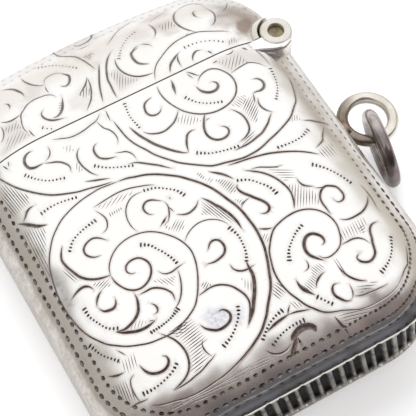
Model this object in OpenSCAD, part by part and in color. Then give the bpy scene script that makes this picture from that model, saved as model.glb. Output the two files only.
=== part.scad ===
// Vesta case: a small hinged silver box for matches, lying on its back.
// +X is the hinge side, +Y the lid, +Z the engraved front. The origin is the middle of the flat back.

/* [Case] */
// Width across the sides
case_w = 35.4; // [32:0.2:40]
// Thickness from back to front
case_t = 11.8; // [11.2:0.1:14]
// Height of the body from the lid's seam to the base wall
body_h = 32.4; // [28:0.2:42]
// Height of the lid from the seam to its top
lid_h = 10.8; // [10:0.1:14]
// Thickness of the sheet
wall = 0.6; // [0.4:0.05:0.8]
// Plan radius of the corners, which is also the width of the shoulder round the flat faces
corner_r = 8.3; // [7.6:0.1:9]
// Radius of the round between shoulder and side
side_r = 2.8; // [2:0.1:3.2]
// Slope of the shoulder where it meets the side round, in degrees
shoulder_a = 38; // [32:1:42]
// Gap between lid and body along the seam
seam_gap = 0.12; // [0.06:0.02:0.2]

/* [Striker] */
// How far the striking bar stands out from the base
striker_proud = 0.7; // [0.5:0.05:1]
// Width of the striking bar across the thickness
striker_w = 6.7; // [5:0.1:8]
// Angle by which the bar follows each corner
striker_wrap = 40; // [25:1:60]
// Spacing of the ribs
rib_pitch = 1.1; // [0.9:0.05:1.6]
// Radius of the grooves between the ribs
rib_groove_r = 0.38; // [0.25:0.01:0.42]
// Plain rim left at each edge of the bar
rib_rim = 0.45; // [0.3:0.05:0.8]
// Radius of the cove above and below the bar
cove_r = 1.6; // [1.2:0.1:2.5]
// Depth of the cove
cove_depth = 0.35; // [0.2:0.05:0.5]

/* [Mouth] */
// Thickness of the inner collar
rim_t = 0.45; // [0.3:0.05:0.6]
// How far the collar reaches into the lid
rim_up = 1.5; // [1:0.1:2]
// How far the collar reaches down the body
rim_down = 2.5; // [1.5:0.1:5]
// Clearance between the collar and the lid
rim_gap = 0.18; // [0.1:0.02:0.3]

/* [Hinge] */
// Distance of the hinge axis in from the side
hinge_in = 1.2; // [1:0.05:1.3]
// Outside diameter of the knuckles
knuckle_d = 3.3; // [3:0.05:3.5]
// Diameter of the hinge pin
pin_d = 1.5; // [1.2:0.05:1.8]
// Radial clearance of the pin in the knuckles
pin_fit = 0.03; // [0.02:0.01:0.06]
// How far the hinge ends lie below the flat faces
hinge_drop = 0.7; // [0.5:0.05:1]
// Length of the middle knuckle
lid_knuckle_l = 4.2; // [3.4:0.1:5]
// End clearance between knuckles
knuckle_gap = 0.1; // [0.06:0.02:0.2]
// Clearance between a knuckle and the piece that turns round it
seat_gap = 0.2; // [0.15:0.01:0.25]
// Thickness of the curved seat in the lid
bearer_t = 0.6; // [0.4:0.05:0.7]
// How far the pin ends lie inside the knuckles
pin_recess = 0.5; // [0.2:0.05:1]
// Reach of the body's ear from the hinge axis
ear_l = 3.6; // [3:0.1:4.5]

/* [Spring] */
// Thickness of the leaf
spring_t = 0.4; // [0.3:0.02:0.5]
// Width of the leaf
spring_w = 2.2; // [1.8:0.1:2.3]
// Distance from the seam down to the bend of the leaf
spring_bend = 12; // [10:0.5:15]
// Length of the riveted root of the leaf
spring_root = 6; // [5:0.5:8]
// Clearance between the leaf and the round of the middle knuckle
spring_gap = 0.08; // [0.05:0.01:0.15]
// Depth of the two flats on the middle knuckle
flat_depth = 0.25; // [0.15:0.01:0.35]
// Diameter of the rivets
rivet_d = 0.6; // [0.5:0.02:0.7]
// Diameter of the rivet heads
rivet_head_d = 1.1; // [0.9:0.05:1.2]
// Thickness of the rivet heads
rivet_head_t = 0.3; // [0.2:0.02:0.4]

/* [Loop and ring] */
// Distance of the loop's centre below the seam
loop_down = 10.85; // [9:0.05:14]
// Radius of the loop at the middle of its wire
loop_r = 2.55; // [2.45:0.05:2.8]
// Wire diameter of the loop
loop_wire = 1.2; // [1:0.02:1.25]
// Gap from the case's side to the loop's wire
loop_off = 0.1; // [0.05:0.01:0.25]
// Diameter of the loop's foot
foot_d = 2; // [1.6:0.1:2.2]
// Radius of the jump ring at the middle of its wire
ring_r = 3.5; // [3.45:0.02:3.6]
// Wire diameter of the jump ring
ring_wire = 1.36; // [1.2:0.02:1.4]
// Distance of the jump ring's centre from the loop's centre, seen from the front
ring_out = 2.75; // [2.6:0.05:2.9]
// Direction of the jump ring from the loop's centre, in degrees
ring_dir = -89; // [-100:1:-80]
// Turn of the jump ring's axis from square to that direction, in degrees
ring_yaw = -13; // [-20:1:10]
// Lean of the jump ring from upright, in degrees
ring_lean = 10; // [0:1:15]

/* [Hidden] */
$fn = 48;

// Gap between pieces of one body that are soldered or pressed together
solder_gap = 0.02;
// Length that reaches well past any piece in a cut
past = 100;

half_t = case_t / 2;
core_x = case_w / 2 - corner_r;
shoulder_r = (corner_r - side_r * (1 - sin(shoulder_a))) / sin(shoulder_a);
shoulder_drop = shoulder_r * (1 - cos(shoulder_a));
band_h = half_t - shoulder_drop - side_r * cos(shoulder_a);
body_run = body_h - corner_r;
lid_run = lid_h - corner_r;
seam_y = (body_h + striker_proud - lid_h) / 2;

hinge_x = case_w / 2 - hinge_in;
hinge_half = half_t - hinge_drop;
knuckle_r = knuckle_d / 2;
pin_bore_r = pin_d / 2 + pin_fit;
bearer_in = knuckle_r + seat_gap;
bearer_out = bearer_in + bearer_t;
bearer_from = 50;
bearer_to = 178;

// The leaf leaves its root at spring_q and runs to the tangent point on the knuckle's clearance circle
spring_face = case_w / 2 - wall - solder_gap;
spring_q = [spring_face - hinge_x, -spring_bend];
spring_reach = knuckle_r + spring_gap;
spring_touch_a = atan2(spring_q.y, spring_q.x) - acos(spring_reach / norm(spring_q));
rivet_ys = [-spring_bend - spring_root * 0.3, -spring_bend - spring_root * 0.7];
rivet_z = spring_w / 4;

loop_x = case_w / 2 + loop_off + loop_wire / 2 + loop_r;
ring_low = ring_r * cos(ring_lean) + ring_wire / 2;

// Outline of one edge, from the flat's end at x = 0 to the side: shoulder arc, side round, upright band
module edge_section(inset) {
    wedge_z = max(0, half_t - shoulder_r);
    wedge_x = (wedge_z - half_t + shoulder_r) * tan(shoulder_a);
    translate([0, -band_h]) square([corner_r - inset, 2 * band_h]);
    for (flip = [0, 1]) mirror([0, flip]) {
        translate([corner_r - side_r, band_h]) circle(side_r - inset);
        intersection() {
            translate([0, half_t - shoulder_r]) circle(shoulder_r - inset);
            polygon([[0, wedge_z], [wedge_x, wedge_z],
                     [shoulder_r * tan(shoulder_a), half_t], [0, half_t]]);
        }
    }
}

// Cross section of the case through its straight sides
module tube_section(inset) {
    square([2 * core_x, 2 * (half_t - inset)], center = true);
    for (flip = [0, 1]) mirror([flip, 0]) translate([core_x, 0]) edge_section(inset);
}

module front_half() {
    intersection() {
        children();
        translate([-past / 2, 0]) square(past);
    }
}

// Sheet metal of one edge in the front half
module edge_sheet() {
    front_half() difference() {
        edge_section(0);
        edge_section(wall);
    }
}

// Extrudes a cross section along Y between two stations
module along_y(from, to) {
    translate([0, to, 0]) rotate([90, 0, 0]) linear_extrude(to - from) children();
}

// Sweeps an edge section along a straight end that starts at y = run, and round its two corners
module end_sweep(run) {
    translate([0, run, 0]) {
        rotate([90, 0, 90]) linear_extrude(2 * core_x, center = true) children();
        for (flip = [0, 1]) mirror([flip, 0, 0]) translate([core_x, 0, 0])
            rotate_extrude(angle = 90) children();
    }
}

module base_sweep() {
    mirror([0, 1, 0]) end_sweep(body_run) children();
}

// Places a piece drawn with the seam at y = 0 and mid-thickness at z = 0
module seated() {
    translate([0, seam_y, half_t]) children();
}

module at_hinge() {
    translate([hinge_x, 0, 0]) children();
}

module hinge_round(r, half_l = past / 2) {
    at_hinge() cylinder(r = r, h = 2 * half_l, center = true);
}

// Flat ear that carries a knuckle out from the shoulder
module ear() {
    difference() {
        translate([0, 0, band_h]) linear_extrude(hinge_half - band_h)
            polygon([[hinge_x - ear_l, -seam_gap / 2], [hinge_x, -seam_gap / 2], [hinge_x, -knuckle_r],
                     [hinge_x - knuckle_r / 2, -knuckle_r], [hinge_x - ear_l, -knuckle_r / 2]]);
        along_y(-past, past) tube_section(wall);
    }
}

module body_half() {
    difference() {
        union() {
            along_y(-body_run, -seam_gap / 2) front_half() difference() {
                tube_section(0);
                tube_section(wall);
            }
            base_sweep() edge_sheet();
            ear();
        }
        hinge_round(knuckle_r + solder_gap);
        hinge_round(bearer_in, lid_knuckle_l / 2 + knuckle_gap);
    }
}

module body_front() {
    color("gainsboro") seated() difference() {
        body_half();
        rivet_holes();
    }
}

module body_back() {
    color("gainsboro") seated() difference() {
        mirror([0, 0, 1]) body_half();
        rivet_holes();
    }
}

// Station of each groove along the base, running on round the corners
function rib_at(s) =
    let (turn = (abs(s) - core_x) / corner_r * 180 / PI, out = corner_r + striker_proud)
    abs(s) <= core_x
        ? [s, -body_run - out]
        : [sign(s) * (core_x + out * sin(turn)), -body_run - out * cos(turn)];

module striker_base() {
    reach = core_x + corner_r * PI / 180 * striker_wrap;
    count = floor((reach - rib_groove_r) / rib_pitch);
    color("silver") seated() difference() {
        base_sweep() difference() {
            translate([corner_r - side_r, -striker_w / 2]) square([side_r + striker_proud, striker_w]);
            edge_section(0);
            for (flip = [0, 1]) mirror([0, flip])
                translate([corner_r - cove_depth, striker_w / 2 + cove_r - cove_depth]) circle(cove_r);
        }
        for (flip = [0, 1]) mirror([flip, 0, 0]) translate([core_x, -body_run, 0]) rotate(striker_wrap)
            translate([0, -past / 2, -past / 2]) cube(past);
        for (i = [-count : count]) translate(rib_at(i * rib_pitch))
            cylinder(r = rib_groove_r, h = striker_w - 2 * rib_rim, center = true);
    }
}

// Collar inside the mouth, open towards the hinge
module mouth_rim() {
    inner = wall + rim_gap + rim_t;
    stop_x = hinge_x - ear_l;
    module collar(from, to, outer) {
        along_y(from, to) intersection() {
            difference() {
                tube_section(outer);
                tube_section(inner);
            }
            translate([stop_x - past, -past / 2]) square(past);
        }
    }
    color("khaki") seated() {
        collar(-rim_down, -seam_gap, wall + solder_gap);
        collar(-seam_gap, rim_up, wall + rim_gap);
    }
}

module lid_half() {
    difference() {
        union() {
            along_y(seam_gap / 2, lid_run) front_half() difference() {
                tube_section(0);
                tube_section(wall);
            }
            end_sweep(lid_run) edge_sheet();
        }
        hinge_round(bearer_out + solder_gap);
    }
}

module lid_front() {
    color("gainsboro") seated() lid_half();
}

module lid_back() {
    color("gainsboro") seated() mirror([0, 0, 1]) lid_half();
}

// Curved seat that joins the middle knuckle to the lid and turns round the other two
module lid_bearer() {
    color("silver") seated() difference() {
        at_hinge() rotate(bearer_from) rotate_extrude(angle = bearer_to - bearer_from)
            translate([knuckle_r + solder_gap, -hinge_half])
                square([bearer_out - knuckle_r - solder_gap, 2 * hinge_half]);
        for (end = [-1, 1]) at_hinge() translate([0, 0, end * (lid_knuckle_l / 2 + past / 2)])
            cylinder(r = bearer_in, h = past, center = true);
    }
}

module body_knuckle() {
    length = hinge_half - lid_knuckle_l / 2 - knuckle_gap;
    at_hinge() translate([0, 0, hinge_half - length]) difference() {
        cylinder(r = knuckle_r, h = length);
        translate([0, 0, -past / 2]) cylinder(r = pin_bore_r, h = past);
    }
}

module hinge_knuckle_front() {
    color("silver") seated() body_knuckle();
}

module hinge_knuckle_back() {
    color("silver") seated() mirror([0, 0, 1]) body_knuckle();
}

// Middle knuckle, with one flat for the shut lid and one for the open lid
module lid_knuckle() {
    flat_w = spring_w + 2 * seat_gap;
    color("silver") seated() at_hinge() difference() {
        cylinder(r = knuckle_r, h = lid_knuckle_l, center = true);
        cylinder(r = pin_bore_r, h = past, center = true);
        for (turn = [0, 90]) rotate(spring_touch_a + turn)
            translate([knuckle_r - flat_depth, -knuckle_r, -flat_w / 2])
                cube([knuckle_r, knuckle_d, flat_w]);
    }
}

module hinge_pin() {
    color("darkgoldenrod") seated() hinge_round(pin_d / 2, hinge_half - pin_recess);
}

// Leaf on the hinge side wall, from its riveted root to the middle knuckle
module lid_spring() {
    side = [cos(spring_touch_a), sin(spring_touch_a)];
    touch = spring_reach * side;
    root = spring_q - [0, spring_root];
    back = [spring_t, 0];
    color("dimgray") seated() difference() {
        at_hinge() linear_extrude(spring_w, center = true)
            polygon([touch, spring_q, root, root - back, spring_q - back, touch + spring_t * side]);
        rivet_holes();
    }
}

module rivet_holes() {
    for (i = [0, 1]) translate([hinge_x, rivet_ys[i], rivet_z * (1 - 2 * i)])
        rotate([0, 90, 0]) cylinder(d = rivet_d + 2 * solder_gap, h = past);
}

module spring_rivets() {
    inside = spring_face - spring_t - solder_gap;
    color("gray") seated() for (i = [0, 1])
        translate([inside, rivet_ys[i], rivet_z * (1 - 2 * i)]) rotate([0, 90, 0]) {
            cylinder(d = rivet_d, h = case_w / 2 - inside);
            mirror([0, 0, 1]) cylinder(d = rivet_head_d, h = rivet_head_t);
        }
}

module wire_ring(r, wire) {
    rotate_extrude() translate([r, 0]) circle(d = wire);
}

module suspension_loop() {
    color("antiquewhite") seated() translate([loop_x, -loop_down, 0]) wire_ring(loop_r, loop_wire);
}

// Round foot between the side and the loop, hollowed to the loop's wire
module loop_foot() {
    color("antiquewhite") seated() difference() {
        translate([case_w / 2 + solder_gap, -loop_down, 0]) rotate([0, 90, 0])
            cylinder(d = foot_d, h = loop_off + loop_wire);
        translate([loop_x, -loop_down, 0]) wire_ring(loop_r, loop_wire + 2 * solder_gap);
        translate([loop_x, -loop_down, 0]) cylinder(r = loop_r, h = past, center = true);
    }
}

// Loose ring through the loop, standing on the surface under the case
module jump_ring() {
    color("dimgray") seated() translate([loop_x, -loop_down, -half_t + ring_low]) rotate(ring_dir)
        translate([ring_out, 0, 0]) rotate(90 + ring_yaw) rotate([0, 90 - ring_lean, 0])
            wire_ring(ring_r, ring_wire);
}

body_front();
body_back();
striker_base();
mouth_rim();
lid_front();
lid_back();
lid_bearer();
hinge_knuckle_front();
hinge_knuckle_back();
lid_knuckle();
hinge_pin();
lid_spring();
spring_rivets();
suspension_loop();
loop_foot();
jump_ring();
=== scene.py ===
import math
from itertools import chain
import bpy
import numpy as np
from mathutils import Matrix, Vector
from mathutils.geometry import delaunay_2d_cdt


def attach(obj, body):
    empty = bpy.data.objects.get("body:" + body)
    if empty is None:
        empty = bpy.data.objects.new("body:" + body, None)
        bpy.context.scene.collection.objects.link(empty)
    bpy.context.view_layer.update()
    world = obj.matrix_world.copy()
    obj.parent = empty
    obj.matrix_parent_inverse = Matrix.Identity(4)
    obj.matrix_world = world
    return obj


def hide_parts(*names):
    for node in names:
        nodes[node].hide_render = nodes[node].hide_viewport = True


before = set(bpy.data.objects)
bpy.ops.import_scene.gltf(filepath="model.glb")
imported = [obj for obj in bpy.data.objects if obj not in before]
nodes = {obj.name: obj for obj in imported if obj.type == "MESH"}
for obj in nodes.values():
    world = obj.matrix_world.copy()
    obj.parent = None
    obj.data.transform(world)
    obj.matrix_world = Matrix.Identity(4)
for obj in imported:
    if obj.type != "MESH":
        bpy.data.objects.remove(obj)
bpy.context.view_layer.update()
print("frame loaded:", len(nodes), "nodes")

# Lengths of the pieces are in millimetres, with y = 0 on the seam and z = 0 at half thickness
seat = {"seamY": 11.15, "midZ": 5.9}


def toRow(points):
    # case frame in millimetres -> row frame in metres
    return (np.asarray(points) + (0.0, seat["seamY"], seat["midZ"])) * 0.001


# Camera, from the fit to the photograph, in metres and degrees
view = {"place": (-0.03241, -0.06056, 0.13217), "azimuth": -29.83, "elevation": 61.29,
        "lens": 128.29, "sensor": 36.0}


def addCamera():
    az = math.radians(view["azimuth"])
    el = math.radians(view["elevation"])
    right = Vector((math.cos(az), math.sin(az), 0.0))
    back = Vector((math.sin(az) * math.cos(el), -math.cos(az) * math.cos(el), math.sin(el)))
    up = back.cross(right)
    data = bpy.data.cameras.new("photoCamera")
    data.lens = view["lens"]
    data.sensor_width = view["sensor"]
    data.clip_start = 0.01
    camera = bpy.data.objects.new("photoCamera", data)
    turn = Matrix((right, up, back)).transposed().to_4x4()
    camera.matrix_world = Matrix.Translation(view["place"]) @ turn
    bpy.context.scene.collection.objects.link(camera)
    bpy.context.scene.camera = camera


addCamera()
print("camera set")


class Wire:
    # one socket of a shader tree; arithmetic on it adds Math nodes
    def __init__(self, tree, socket=None):
        self.tree = tree
        self.socket = socket

    def node(self, kind, settings=None, sockets=None, output=0):
        made = self.tree.nodes.new(kind)
        for name, value in (settings or {}).items():
            setattr(made, name, value)
        for name, value in (sockets or {}).items():
            if isinstance(value, Wire):
                self.tree.links.new(value.socket, made.inputs[name])
            else:
                made.inputs[name].default_value = value
        return Wire(self.tree, made.outputs[output] if made.outputs else None)

    def math(self, operation, first, second):
        return self.node("ShaderNodeMath", {"operation": operation}, {0: first, 1: second})

    def __add__(self, other):
        return self.math("ADD", self, other)

    def __radd__(self, other):
        return self.math("ADD", other, self)

    def __sub__(self, other):
        return self.math("SUBTRACT", self, other)

    def __rsub__(self, other):
        return self.math("SUBTRACT", other, self)

    def __mul__(self, other):
        return self.math("MULTIPLY", self, other)

    def __rmul__(self, other):
        return self.math("MULTIPLY", other, self)

    def step(self, low, high):
        # smooth 0 to 1 as the value goes from low to high
        return self.node("ShaderNodeMapRange", {"interpolation_type": "SMOOTHSTEP"},
                         {"Value": self, "From Min": low, "From Max": high})

    def tint(self, first, second):
        # colour between two, by this value
        colours = [c if isinstance(c, Wire) else (*c, 1.0) for c in (first, second)]
        return self.node("ShaderNodeMix", {"data_type": "RGBA"}, {0: self, 6: colours[0], 7: colours[1]}, 2)

    def parts(self):
        split = self.node("ShaderNodeSeparateXYZ", None, {0: self}).socket.node
        return [Wire(self.tree, split.outputs[i]) for i in range(3)]


def newMaterial(name):
    # an empty shader tree, and the place on the piece in metres
    made = bpy.data.materials.new(name)
    made.use_nodes = True
    made.node_tree.nodes.clear()
    start = Wire(made.node_tree)
    return made, start, start.node("ShaderNodeTexCoord", None, None, "Object")


def endMaterial(start, colour, roughness, metallic, normal, **fixed):
    sockets = {"Base Color": colour, "Roughness": roughness, "Metallic": metallic, "Normal": normal}
    shader = start.node("ShaderNodeBsdfPrincipled", None, {**sockets, **fixed})
    start.node("ShaderNodeOutputMaterial", None, {"Surface": shader})


def carried(start, name):
    # value that the mesh carries under this name
    return start.node("ShaderNodeAttribute", {"attribute_name": name}, None, "Fac")


def noise(start, place, scale, detail, stretch=None, turn=0.0):
    # noise of about 1/scale metres, drawn out along one axis for rubbed hairlines
    if stretch is not None:
        place = start.node("ShaderNodeMapping", None,
                           {"Vector": place, "Rotation": (0.0, 0.0, turn), "Scale": stretch})
    return start.node("ShaderNodeTexNoise", None, {"Vector": place, "Scale": scale, "Detail": detail})


def bumps(start, height, strength, distance, **under):
    # normal bent by a height of 0 to 1 over the distance in metres, on top of another normal if one is given
    return start.node("ShaderNodeBump", None,
                      {"Strength": strength, "Distance": distance, "Height": height, **under})


# Silver of the shells: polished, with hairline rubbing, faint warm toning and dark cuts.
# Cuts are brown low on the case and grey by the seam, and a bloom is a bluish stain. Warm is where on y, in
# metres, brown starts and is full; cloud, hairs, blotch, speck, grain and wave are noise scales
silverLook = {"bright": (0.98, 0.97, 0.955), "toned": (0.86, 0.83, 0.78), "worn": (0.60, 0.56, 0.50),
              "shade": (0.46, 0.37, 0.325), "bloom": (0.50, 0.51, 0.62), "hatch": (0.27, 0.255, 0.235),
              "brown": (0.27, 0.185, 0.165), "cut": (0.040, 0.026, 0.024), "warm": (0.007, -0.004),
              "roughness": 0.15, "cloud": 130.0, "hairs": (900.0, 800.0), "blotch": 700.0, "speck": 2400.0,
              "grain": 2600.0, "wave": 240.0, "waveHigh": 0.00028}


def makeSilver(name, cuts, toning):
    # toned in clouds, dulled where handled and greyed as painted shade for darker reflections, then browned
    # by the shade, bloom and cuts that the mesh carries
    look = silverLook
    made, start, place = newMaterial(name)
    cloud = noise(start, place, look["cloud"], 4.0).step(0.35, 0.75)
    fine = noise(start, place, look["hairs"][0], 2.0, (1.0, 9.0, 1.0), 0.5)
    cross = noise(start, place, look["hairs"][1], 2.0, (8.0, 1.0, 1.0), 0.2)
    rubbed = (fine + cross) * 0.5
    blotch = noise(start, place, look["blotch"], 4.0).step(0.3, 0.7)
    speck = noise(start, place, look["speck"], 3.0).step(0.35, 0.7)
    handledAndShaded = carried(start, "worn") * (0.45 + 0.3 * blotch + 0.35 * speck)
    colour = (cloud * toning).tint(look["bright"], look["toned"])
    # worn grey: handling wear, and painted shade for the darker reflections on the sides and the right
    # shoulder
    colour = handledAndShaded.tint(colour, look["worn"])
    roughness = look["roughness"] + cloud * 0.08 + rubbed * 0.06 + handledAndShaded * 0.16
    metallic = 1.0
    if cuts:
        shade = carried(start, "shade")
        colour = (shade * (0.75 + 0.25 * blotch)).tint(colour, look["shade"])
        colour = (carried(start, "bloom") * (0.35 + 0.65 * speck)).tint(colour, look["bloom"])
        cut = carried(start, "cut")
        grain = noise(start, place, look["grain"], 2.0).step(0.3, 0.7)
        warm = place.parts()[1].step(*look["warm"])
        dirt = cut.step(0.45, 0.9).tint(warm.tint(look["hatch"], look["brown"]), look["cut"])
        shown = cut.step(0.0, 0.42) * (1.0 - 0.25 * grain)
        colour = shown.tint(colour, dirt)
        roughness = roughness + shade * 0.12 + shown * 0.22
        metallic = 1.0 - shown * 0.35
    uneven = bumps(start, noise(start, place, look["wave"], 1.0), 1.0, look["waveHigh"])
    endMaterial(start, colour, roughness, metallic, bumps(start, rubbed, 0.05, 0.00002, Normal=uneven))
    return made


# Gilding of the inside, and the plain metals of the small pieces; cloud is the noise scale of the dull clouds
giltLook = {"bright": (0.83, 0.62, 0.31), "dull": (0.62, 0.46, 0.24), "roughness": 0.24, "cloud": 220.0}
metalLooks = {
    "hingeSilver": {"bright": (0.88, 0.86, 0.82), "dull": (0.66, 0.62, 0.55),
                    "roughness": 0.22, "cloud": 260.0},
    "pinBrass": {"bright": (0.46, 0.39, 0.24), "dull": (0.24, 0.20, 0.13),
                 "roughness": 0.42, "cloud": 900.0},
    "springSteel": {"bright": (0.40, 0.41, 0.44), "dull": (0.22, 0.24, 0.30),
                    "roughness": 0.32, "cloud": 300.0},
    "footDarkBrown": {"bright": (0.40, 0.29, 0.21), "dull": (0.16, 0.11, 0.08),
                    "roughness": 0.36, "cloud": 600.0},
    # loop and ring darken towards the case: tarnish with painted shade and dark reflection
    "loopSilver": {"bright": (0.90, 0.87, 0.80), "dull": (0.68, 0.63, 0.55),
                   "roughness": 0.14, "cloud": 320.0,
                   "tarnishAndShade": (0, 0.0212, 0.0190, (0.17, 0.125, 0.09))},
    "ringMetal": {"bright": (0.70, 0.66, 0.65), "dull": (0.42, 0.38, 0.375),
                  "roughness": 0.15, "cloud": 420.0,
                  "tarnishAndShade": (1, -0.0008, -0.0040, (0.15, 0.115, 0.11))}}


def makeGilt(name):
    # two golds in clouds, with fine rubbing
    made, start, place = newMaterial(name)
    cloud = noise(start, place, giltLook["cloud"], 4.0).step(0.3, 0.75)
    rub = noise(start, place, 1200.0, 2.0, (1.0, 7.0, 1.0), 0.3)
    colour = cloud.tint(giltLook["bright"], giltLook["dull"])
    endMaterial(start, colour, giltLook["roughness"] + cloud * 0.12, 1.0, bumps(start, rub, 0.08, 0.00003))
    return made


def makeMetal(name, look):
    # two tones in clouds, with fine rubbing; the darkening entry is an axis, where it starts and is full, and
    # a colour:
    # tarnish with painted shade and dark reflection towards the case
    made, start, place = newMaterial(name)
    cloud = noise(start, place, look["cloud"], 4.0).step(0.35, 0.7)
    rub = noise(start, place, 1800.0, 2.0, (1.0, 1.0, 6.0), 0.6)
    colour = cloud.tint(look["bright"], look["dull"])
    if "tarnishAndShade" in look:
        axis, first, full, dark = look["tarnishAndShade"]
        # painted shade and dark reflection, with some tarnish: darker along the axis towards the case and the
        # foot
        spread = place.parts()[axis].step(first, full)
        colour = (spread * (0.75 + 0.25 * cloud)).tint(colour, dark)
    roughness = look["roughness"] + cloud * 0.1 + rub * 0.06
    endMaterial(start, colour, roughness, 1.0, bumps(start, rub, 0.08, 0.00003))
    return made


silver = makeSilver("engravedSilver", True, 0.18)
lidSilver = makeSilver("lidSilver", True, 0.6)
plainSilver = makeSilver("plainSilver", False, 0.5)
gilt = makeGilt("giltLining")
metals = {name: makeMetal(name, look) for name, look in metalLooks.items()}
print("metals made:", len(metals) + 4)


def fade(value, low, span):
    # 0 to 1 in a straight line as the value goes from low to low plus span
    return np.clip((value - low) / span, 0.0, 1.0)


# Form of the two half shells, as in the solids; the lid's far side is a shallow arch. hatchGrey is how far
# hatching greys the whole of its patch
shellForm = {"coreX": 9.4, "cornerR": 8.3, "halfT": 5.9, "shoulderA": 38.0, "shoulderR": 11.7335,
             "sideR": 2.8, "band": 1.206, "wall": 0.6, "gap": 0.06, "hingeX": 16.5, "edgePitch": 0.5,
             "notchSteps": 32, "notchGap": 0.02, "tipGap": 0.15}
bodyPart = {"lid": False, "run": 24.1, "notch": 1.67, "hatchGrey": 0.14}
lidPart = {"lid": True, "run": 2.5, "arch": 94.7, "notch": 2.47, "hatchGrey": 0.25}
# The lid's hinge seat is a crescent: full width by the seam, running out to nothing on the far side
crescentForm = {"inner": 1.85, "outer": 2.45, "full": 140.0, "thin": 86.0, "ends": 179.0, "high": 5.2,
                "steps": 60, "soft": 0.14, "tipTurn": 3.0, "sharp": 35.0}


def crescentEdge(turn):
    # outer radius at an angle in degrees: smooth run from the inner radius to the full one
    c = crescentForm
    t = fade(turn, c["thin"], c["full"] - c["thin"])
    return c["inner"] + (c["outer"] - c["inner"]) * t * t * (3 - 2 * t)


shoulderTurn = math.radians(shellForm["shoulderA"])
lengthA = shellForm["shoulderR"] * shoulderTurn
lengthB = lengthA + shellForm["sideR"] * (math.pi / 2 - shoulderTurn)
lengthC = lengthB + shellForm["band"]


def profile(a):
    # arc length a out from the flat: shoulder arc, then side round, then upright band
    f = shellForm
    turnA = a / f["shoulderR"]
    turnB = shoulderTurn + (a - lengthA) / f["sideR"]
    outA = f["shoulderR"] * np.sin(turnA)
    outB = f["cornerR"] - f["sideR"] + f["sideR"] * np.sin(np.minimum(turnB, math.pi / 2))
    out = np.where(a < lengthA, outA, outB)
    highA = f["halfT"] - f["shoulderR"] * (1 - np.cos(turnA))
    highB = np.where(a < lengthB, f["band"] + f["sideR"] * np.cos(turnB), f["band"] - (a - lengthB))
    high = np.where(a < lengthA, highA, highB)
    slope = np.where(a < lengthA, turnA, np.minimum(turnB, math.pi / 2))
    return out, high, slope


def coreOf(p, part):
    # nearest point of the flat face: clamped to its sides and to its straight or arched end
    x, y = p[:, 0], p[:, 1]
    side = np.clip(x, -shellForm["coreX"], shellForm["coreX"])
    if not part["lid"]:
        return np.stack([side, np.maximum(y, -part["run"])], 1)
    centre = part["run"] - part["arch"]
    far = np.hypot(x, y - centre)
    arcX = x / far * part["arch"]
    arcY = centre + (y - centre) / far * part["arch"]
    endY = centre + math.sqrt(part["arch"] ** 2 - shellForm["coreX"] ** 2)
    wide = np.abs(arcX) > shellForm["coreX"]
    beyond = far > part["arch"]
    coreX = np.where(wide, side, np.where(beyond, arcX, x))
    coreY = np.where(wide, np.minimum(y, endY), np.where(beyond, arcY, y))
    return np.stack([coreX, coreY], 1)


def unroll(plan, part):
    # plan point -> flattened sheet: distance from the flat becomes arc length
    plan = np.asarray(plan, float)
    f = shellForm
    core = coreOf(plan, part)
    away = plan - core
    d = np.minimum(np.hypot(away[:, 0], away[:, 1]), f["cornerR"])
    inner = f["shoulderR"] * np.arcsin(np.minimum(d / f["shoulderR"], 1.0))
    sine = np.clip((d - f["cornerR"] + f["sideR"]) / f["sideR"], -1.0, 1.0)
    outer = lengthA + f["sideR"] * (np.arcsin(sine) - shoulderTurn)
    a = np.where(d < f["shoulderR"] * math.sin(shoulderTurn), inner, outer)
    return core + away * (a / np.maximum(d, 1e-9))[:, None]


def lift(flat, part, depth):
    # flattened sheet -> solid shell: along the profile, then in along the normal by depth
    core = coreOf(flat, part)
    away = flat - core
    a = np.hypot(away[:, 0], away[:, 1])
    ray = away / np.maximum(a, 1e-9)[:, None]
    out, high, slope = profile(a)
    normal = np.concatenate([ray * np.sin(slope)[:, None], np.cos(slope)[:, None]], 1)
    place = np.concatenate([core + ray * out[:, None], high[:, None]], 1)
    return place - normal * np.asarray(depth).reshape(-1, 1), normal


def arc(centre, radius, start, end, count):
    turn = np.radians(np.linspace(start, end, count))
    return np.stack([centre[0] + radius * np.cos(turn), centre[1] + radius * np.sin(turn)], 1)


def line(a, b, pitch):
    count = max(2, int(math.dist(a, b) / pitch) + 1)
    t = np.linspace(0.0, 1.0, count)[:, None]
    return np.asarray(a) * (1 - t) + np.asarray(b) * t


def perimeter(part, a, pitch):
    # contour at arc length a: down one side, round the end and up the other, left to right
    x, gap = shellForm["coreX"], shellForm["gap"]
    if not part["lid"]:
        end = -part["run"]
        count = max(5, int(math.pi / 2 * max(a, 0.5) / pitch))
        return np.concatenate([line((-x - a, -gap), (-x - a, end), pitch),
                               arc((-x, end), a, 180.0, 270.0, count)[1:],
                               line((-x, end - a), (x, end - a), pitch)[1:],
                               arc((x, end), a, 270.0, 360.0, count)[1:],
                               line((x + a, end), (x + a, -gap), pitch)[1:]])
    centre = part["run"] - part["arch"]
    end = centre + math.sqrt(part["arch"] ** 2 - x ** 2)
    lean = math.degrees(math.asin(x / part["arch"]))
    count = max(5, int(1.5 * max(a, 0.5) / pitch))
    far = arc((0.0, centre), part["arch"] + a, 90.0 + lean, 90.0 - lean, int(19 / pitch))
    return np.concatenate([line((-x - a, gap), (-x - a, end), pitch),
                           arc((-x, end), a, 180.0, 90.0 + lean, count)[1:], far[1:],
                           arc((x, end), a, 90.0 - lean, 0.0, count)[1:],
                           line((x + a, end), (x + a, gap), pitch)[1:]])


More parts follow.
